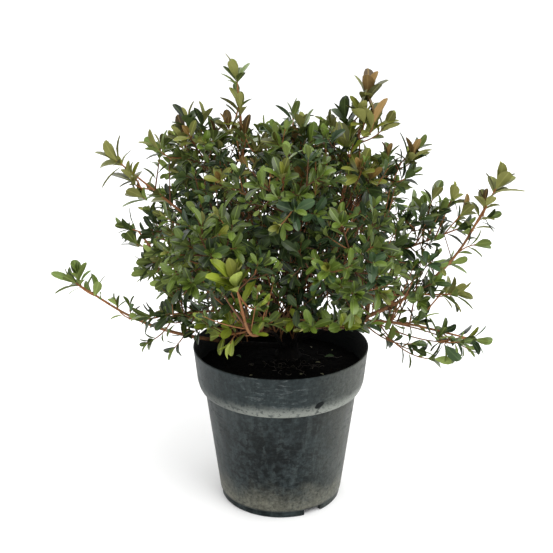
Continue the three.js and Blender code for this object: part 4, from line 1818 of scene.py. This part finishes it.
    def room_along(self, start: Array, way: Array, index: int, most: float) -> float:
        """The distance from a point to the end of a mass's space.

        Args:
            start: The point.
            way: The direction.
            index: The mass's number.
            most: Where the search ends.

        Returns:
            The distance.
        """
        steps = np.arange(0, most, 2.0)
        inside = self.in_space(start + steps[:, None] * way, index)
        return float(steps[int(np.argmin(inside))]) if not inside.all() else most

    def is_free(self, line: Array, first: int = 2, inset: float = 12) -> bool:
        """Whether a twig keeps clear of the limbs and ends inside the crown's outline.

        Args:
            line: The twig's points.
            first: The first of them that has to be clear.
            inset: How far inside the outline it ends.

        Returns:
            Whether it does.
        """
        inside = not self.hangs_low(line[-1]) and self.in_outline(line[-1], inset)
        return inside and self.is_clear(line[first:], self.twig_clearance)

    def is_crowded(self, tip: Array, spacing: float) -> bool:
        """Whether another spray's middle is nearer than the spacing."""
        return bool(self.tips) and float(np.linalg.norm(np.array(self.tips) - tip, axis=1).min()) < spacing

    def greens(self, tip: Array, mass: Mass) -> tuple[Tint, Tint]:
        """Deal out the greens of one spray by its place in the crown: deep greens in its core are painted
        shade, lighter ones high up and further out painted light.

        Args:
            tip: The spray's middle.
            mass: The mass it belongs to.

        Returns:
            The greens of its outer and of its inner leaves.
        """
        draw = self.chance.random()
        if mass.name.startswith("front_low") and draw < 0.4:
            return (BRIGHT if draw < 0.16 else MID), BRIGHT
        high = (tip[2] - self.sunlit_from) / self.sunlit_over
        edge = np.linalg.norm((tip - self.shaded_core_middle) / self.shaded_core_reach)
        # Light tints high in the crown: partly young growth, partly painted sunlight.
        if draw < 0.08 + 0.34 * max(0.0, high):
            young = high > 0.3 and self.chance.random() < 0.3
            return (OLIVE, BRONZE) if young else (MID, OLIVE)
        # Deep greens in the core and lighter ones further out: painted shade and painted light.
        if edge < 0.7:
            return (DEEP, DEEP) if draw < 0.7 else (BLUE, MID)
        if draw < 0.34 - 0.3 * (edge - 0.8):
            return DEEP, MID
        if draw < 0.52:
            return BLUE, MID
        return (MID, MID) if draw < 0.86 else (MID, OLIVE)

    def leaf(self, tint: Tint, place: Array, axis: Array, slope: float, turn: float, length: float) -> None:
        """Grow a leaf from a twig's side, its upper face towards the twig's end.

        A leaf that would come too near the limbs, the pot or its mouth doesn't grow.

        Args:
            tint: Its green.
            place: The twig's middle where the leaf leaves it.
            axis: The twig's direction there.
            slope: Radians between the leaf and the twig.
            turn: Radians round the twig.
            length: The leaf's length.
        """
        way = off_axis(axis, slope, turn)
        top = unit(axis - way * axis.dot(way))
        upwards = self.leaf_to_light * UP * (1 - abs(way[2]))
        top = unit(top + upwards + self.chance.normal(0, self.leaf_scatter, 3))
        root = place + self.leaf_stalk * (way - axis * axis.dot(way))
        reach = np.array([root + way * length * share for share in (0.5, 1.0)])
        if self.hangs_low(reach[1]) or not self.is_clear(reach, self.leaf_clearance):
            return
        width = length * self.leaf_width * self.chance.uniform(*self.width_range)
        folds = (self.chance.uniform(*self.fold_range), self.chance.uniform(*self.droop_range))
        self.sprays[tint].leaves.append((root, way, top, (length, width), folds, self.chance.random()))

    def rosette(
        self, place: Array, axis: Array, greens: tuple[Tint, Tint], size: float, habit: Habit
    ) -> None:
        """Grow the whorl of leaves at a twig's end: upright ones within, flatter ones without.

        Args:
            place: The twig's end.
            axis: Its direction there.
            greens: The greens of the outer and the inner leaves.
            size: How large its leaves are, 1 being usual.
            habit: How the shoot bears them.
        """
        count = int(self.chance.integers(habit.fewest, habit.most + 1))
        first = self.chance.random() * 2 * math.pi
        for number in range(count):
            share = number / (count - 1)
            slope = habit.outer_slope - (habit.outer_slope - self.inner_slope) * share
            slope += self.chance.uniform(-self.slope_scatter, self.slope_scatter)
            shrink = 1 - 2 * habit.inner_shrink * max(0.0, share - 0.5)
            length = size * habit.size * shrink * self.chance.uniform(*self.leaf_length)
            root = place - axis * (self.whorl_length * (1 - share))
            tint = greens[1] if share > self.whorl_inner else greens[0]
            self.leaf(tint, root, axis, math.radians(slope), first + number * GOLDEN, length)

    def dress_twig(
        self, line: Array, greens: tuple[Tint, Tint], clothed: float, size: float, habit: Habit
    ) -> None:
        """Put a rosette at a twig's end and single leaves down its last stretch.

        Args:
            line: The twig's points.
            greens: The greens of its outer and inner leaves.
            clothed: How far down from its end it bears leaves.
            size: How large its leaves are, 1 being usual.
            habit: How it bears them.
        """
        self.rosette(line[-1], unit(line[-1] - line[-2]), greens, size, habit)
        runs = np.linalg.norm(np.diff(line, axis=0), axis=1)
        along = np.concatenate([[0], np.cumsum(runs)])
        at, turn = along[-1] - self.below_whorl, self.chance.random() * 6
        while at > max(self.bare_foot, along[-1] - clothed):
            place, ahead = (
                np.array([np.interp(spot, along, line[:, part]) for part in range(3)])
                for spot in (at, min(at + 2, along[-1]))
            )
            slope = math.radians(self.chance.uniform(*self.single_slope))
            length = size * habit.size * self.chance.uniform(*self.leaf_length)
            length *= self.chance.uniform(*self.single_size)
            self.leaf(greens[0], place, unit(ahead - place), slope, turn, length)
            at -= self.chance.uniform(*habit.step)
            turn += GOLDEN

    def grow(self, batch: TwigBatch, line: Array, first: float, last: float) -> None:
        """Sweep a twig, swollen at its end into a bud.

        Args:
            batch: The mesh it joins.
            line: Its points.
            first: Its radius at the root.
            last: Its radius at the end.
        """
        end = line[-1] + unit(line[-1] - line[-2]) * self.bud_length
        radii = np.concatenate([np.linspace(first, last, len(line)), [last * 1.7, last * 0.6]])
        batch.add(np.vstack([line, line[-1] + (end - line[-1]) * 0.4, end]), radii)

    def batch(self, young_share: float) -> TwigBatch:
        """Choose whether a twig's bark is young or old."""
        return self.young if self.chance.random() < young_share else self.old

    def arched(self, root: Array, way: Array, length: float, lift: float, steps: int = 8) -> Array:
        """A twig's line: out along its first direction, then turning up towards the light.

        Args:
            root: Where it starts.
            way: Its first direction.
            length: Its length.
            lift: How far its end rises, as a share of its length.
            steps: The number of points.

        Returns:
            The points.
        """
        middle = root + way * 0.55 * length
        tip = root + way * 0.96 * length + UP * lift * length * (1 - abs(way[2]))
        return bezier([root, middle, tip], np.linspace(0, 1, steps))

    def side_twigs(self, line: Array, index: int) -> None:
        """Grow short leafy twigs from a shoot.

        Args:
            line: The shoot's points.
            index: The mass's number.
        """
        length = float(np.linalg.norm(line[-1] - line[0]))
        count = int(length // self.side_step)
        turn = self.chance.random() * 6
        for number in range(count):
            spot = (0.16 + 0.68 * (number + self.chance.random()) / count) * (len(line) - 1)
            low = int(spot)
            root = line[low] + (line[low + 1] - line[low]) * (spot - low)
            turn += GOLDEN
            slope = math.radians(self.chance.uniform(*self.side_slope))
            way = off_axis(unit(line[low + 1] - line[low]), slope, turn)
            room = self.room_along(root, way, index, self.side_room)
            reach = min(room - self.side_inset, 0.7 * length, self.chance.uniform(*self.side_length))
            if reach < self.least_length:
                continue
            twig = self.arched(root, way, reach, self.side_lift, 5)
            if self.is_crowded(twig[-1], self.spacing) or not self.is_free(twig):
                continue
            self.tips.append(twig[-1])
            self.grow(self.batch(0.5), twig, self.twig_radius, self.end_radius)
            if not self.is_bare(twig[-1]):
                greens = self.greens(twig[-1], MASSES[index])
                size = self.side_size * self.chance.uniform(0.7, 1.0)
                self.dress_twig(twig, greens, 0.8 * reach, size, USUAL)

    def grow_mass(self, index: int) -> None:
        """Grow one mass: its stem, the shoots along it and their twigs.

        Args:
            index: The mass's number.
        """
        mass = MASSES[index]
        self.chance = np.random.default_rng([SEED, index])
        lead = LEADS.get(mass.name, Lead())
        stem = [mass.entry, mass.middle, np.array(mass.tip) - mass.along * lead.short]
        line = bezier(stem, np.linspace(0, 1, 12))
        self.tips.append(line[-1])
        dealt = self.greens(line[-1], mass)
        self.grow(self.young, line, self.stem_radius, self.stem_end_radius)
        self.dress_twig(line, lead.greens or dealt, 1.1 * mass.reach, 1.0, lead.habit)
        self.grow_leaders(mass, stem)
        shoots = FEW_SHOOTS.get(mass.name, round(mass.reach * self.shoots_per_reach))
        for number in range(shoots):
            at = 0.04 + 0.84 * (number + 0.6 * self.chance.random()) / shoots
            root, ahead = bezier(stem, [at, at + 0.02])
            spread = math.radians(self.spread + self.spread_at_foot * (1 - at) * self.chance.random())
            way = off_axis(unit(ahead - root), spread, number * GOLDEN + 0.7 * self.chance.random())
            length = self.room_along(root, way, index, 1.15 * mass.reach) - self.shoot_inset
            if length < self.least_length:
                continue
            shoot = self.arched(root, way, length, self.lift)
            if not self.is_free(shoot):
                continue
            self.grow(self.old, shoot, self.shoot_radius, self.end_radius)
            greens = self.greens(shoot[-1], mass)
            if not self.is_crowded(shoot[-1], self.spacing):
                self.tips.append(shoot[-1])
                self.dress_twig(shoot, greens, min(self.shoot_clothed, 0.75 * length), 1.0, USUAL)
            self.side_twigs(shoot, index)

    def grow_leaders(self, mass: Mass, stem: list[Array]) -> None:
        """Grow the shoots of a mass that stand clear of it.

        Args:
            mass: The mass.
            stem: The control points of its stem.
        """
        for leader in LEADERS.get(mass.name, ()):
            way = aim(leader.heading, leader.rise)
            tip = np.array(leader.end, float)
            if leader.start >= 0:
                spots = bezier(self.limbs.curves[mass.name], [leader.start])
            else:
                spots = bezier(stem, np.linspace(0.05, 0.9, 18))
            reach = np.linalg.norm(spots - tip, axis=1)
            best = int(np.argmin(np.abs(reach - max(self.leader_least, float(reach.min()) + 8))))
            line = bezier([spots[best], tip - way * 0.5 * reach[best], tip], np.linspace(0, 1, 9))
            self.tips.append(line[-1])
            self.grow(self.young, line, self.shoot_radius, self.end_radius * 1.3)
            clothed = min(self.leader_clothed, 0.9 * reach[best])
            self.dress_twig(line, (leader.outer, leader.inner), clothed, 1.0, leader.habit)

    def clothe_bough(self, index: int) -> None:
        """Grow fine twigs with small dark leaves from the outer part of a bough.

        Args:
            index: The mass's number.
        """
        mass = MASSES[index]
        self.chance = np.random.default_rng([SEED, 500 + index])
        ends = self.limbs.curves[mass.name]
        count = int(float(np.linalg.norm(ends[-1] - ends[0])) * 0.72 // self.bough_step)
        turn = self.chance.random() * 6
        for number in range(count):
            at = 0.26 + 0.72 * (number + self.chance.random()) / count
            root, ahead = bezier(ends, [at, at + 0.02])
            turn += GOLDEN
            slope = math.radians(self.chance.uniform(*self.fine_slope))
            way = unit(off_axis(unit(ahead - root), slope, turn) + 0.25 * UP)
            reach = self.chance.uniform(*self.fine_length)
            if number % 3 == 0:
                way = unit(way + 0.9 * unit(ahead - root) + 0.5 * UP)
                reach = self.chance.uniform(*self.long_length)
            line = self.arched(root, way, reach, self.fine_lift)
            if self.is_crowded(line[-1], self.spacing * 0.8) or not self.is_free(line, 3, 15):
                continue
            self.tips.append(line[-1])
            radius = self.twig_radius * (1.3 if reach > self.fine_length[1] else 1)
            self.grow(self.batch(0.4), line, radius, self.end_radius)
            if not self.is_bare(line[-1]):
                size = self.chance.uniform(*self.fine_size)
                self.dress_twig(line, self.greens(line[-1], mass), self.fine_clothed, size, SHADED)

    def raise_canes(self) -> None:
        """Grow long, nearly bare stems up through the middle, from the inner part of every bough."""
        self.chance = np.random.default_rng([SEED, 900])
        for mass in MASSES:
            for _ in range(self.canes_per_bough):
                at = self.chance.uniform(0.1, 0.75)
                root, ahead = bezier(self.limbs.curves[mass.name], [at, at + 0.02])
                sideways = aim(self.chance.uniform(0, 360), self.chance.uniform(-10, 30))
                way = unit(0.5 * unit(ahead - root) + 0.9 * UP + 0.75 * sideways)
                line = self.arched(root, way, self.chance.uniform(*self.cane_length), self.cane_lift)
                if self.is_free(line, 3, 19):
                    self.grow(self.batch(0.45), line, self.cane_radius, self.end_radius)
                    self.dress_twig(line, (DEEP, MID), self.cane_clothed, self.cane_size, SPARSE)

    def dress(self) -> list[Piece]:
        """Grow every mass, join each kind and give it its finish.

        Returns:
            The pieces.
        """
        for index in range(len(MASSES)):
            self.grow_mass(index)
        for index in range(len(MASSES)):
            self.clothe_bough(index)
        self.raise_canes()
        pieces = []
        for batch, bark in ((self.old, self.old_bark), (self.young, self.young_bark)):
            piece = batch.piece()
            coat_with(piece, bark.material(self.limbs.heart))
            pieces.append(piece)
        for tint, spray in self.sprays.items():
            for piece in spray.pieces(self.form):
                pieces.append(piece)
        masses = [f"foliage_{mass.name}" for mass in MASSES]
        for piece in pieces:
            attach(piece, "root")
            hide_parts(*masses)
        return pieces


# ---------------------------------------------------------------- light and camera
@dataclass
class Studio:
    """A pale floor, soft light and the camera.

    Each lamp has its name, its place and its width in metres, and its power in watts.
    """

    floor_half_width: float = 15.0
    floor_colour: Colour = (0.93, 0.93, 0.93)
    sky_strength: float = 1.0
    sun_strength: float = 1.0
    sun_width: float = 50
    sun_way: Point = (-0.35, 0.5, -1.0)
    lamps: tuple[tuple[str, Point, float, float], ...] = (
        ("key_lamp", (0.9, -1.1, 1.9), 1.1, 14),
        ("side_lamp", (1.7, 0.3, 0.9), 1.4, 8),
        ("back_lamp", (-0.6, 1.5, 1.7), 1.4, 14),
    )
    lamps_look_at: Point = (0, 0, 0.25)
    camera_place: Point = (-0.00466, -1.0054, 0.5958)
    camera_pitch: float = 71.17
    lens: float = 65.1
    sensor: float = 36

    def hang(self, light: bpy.types.Light, place: Point, way: Vector) -> None:
        """Hang a light.

        Args:
            light: The light.
            place: Where it hangs.
            way: The direction in which it shines.
        """
        lamp = bpy.data.objects.new(light.name, light)
        lamp.location = place
        lamp.rotation_euler = way.to_track_quat("-Z", "Y").to_euler()
        bpy.context.scene.collection.objects.link(lamp)

    def build(self) -> None:
        """Lay the floor, hang the lights and set up the camera."""
        scene = bpy.context.scene
        bpy.ops.object.select_all(action="DESELECT")
        bpy.ops.mesh.primitive_plane_add(size=2 * self.floor_half_width)
        floor = bpy.context.active_object
        floor.name = "floor"
        coat_with(floor, Bench("pale_floor").coat(base_color=self.floor_colour, roughness=0.9))
        scene.world = bpy.data.worlds.new("soft_sky")
        scene.world.use_nodes = True
        sky = scene.world.node_tree.nodes["Background"]
        sky.inputs["Color"].default_value = (1, 1, 1, 1)
        sky.inputs["Strength"].default_value = self.sky_strength
        sun = bpy.data.lights.new("broad_sun", "SUN")
        sun.energy = self.sun_strength
        sun.angle = math.radians(self.sun_width)
        self.hang(sun, (0, 0, 0), Vector(self.sun_way))
        for name, place, width, power in self.lamps:
            light = bpy.data.lights.new(name, "AREA")
            light.size = width
            light.energy = power
            self.hang(light, place, Vector(self.lamps_look_at) - Vector(place))
        camera = bpy.data.objects.new("camera", bpy.data.cameras.new("camera"))
        camera.data.lens = self.lens
        camera.data.sensor_width = self.sensor
        camera.location = self.camera_place
        camera.rotation_euler = (math.radians(self.camera_pitch), 0, 0)
        scene.collection.objects.link(camera)
        scene.camera = camera
        scene.view_settings.view_transform = "Standard"


def triangles(piece: Piece) -> int:
    """The number of triangles in a piece."""
    return sum(len(face.vertices) - 2 for face in piece.data.polygons)


def main() -> None:
    """Build every part of the plant in order and report each piece."""
    logging.basicConfig(level=logging.INFO, format="%(message)s")
    chance = np.random.default_rng(SEED)
    Studio().build()
    pot = Pot()
    limbs = Limbs()
    limbs.lay_out()
    compost = Compost(pot)
    pieces = [pot.dress(), *compost.dress(chance), *Litter(compost).dress(chance)]
    pieces += [limbs.dress(), *Crown(limbs, pot).dress()]
    for piece in pieces:
        log.info("%s: %d triangles", piece.name, triangles(piece))
    log.info("in all: %d triangles", sum(triangles(piece) for piece in pieces))


if __name__ == "__main__":
    main()
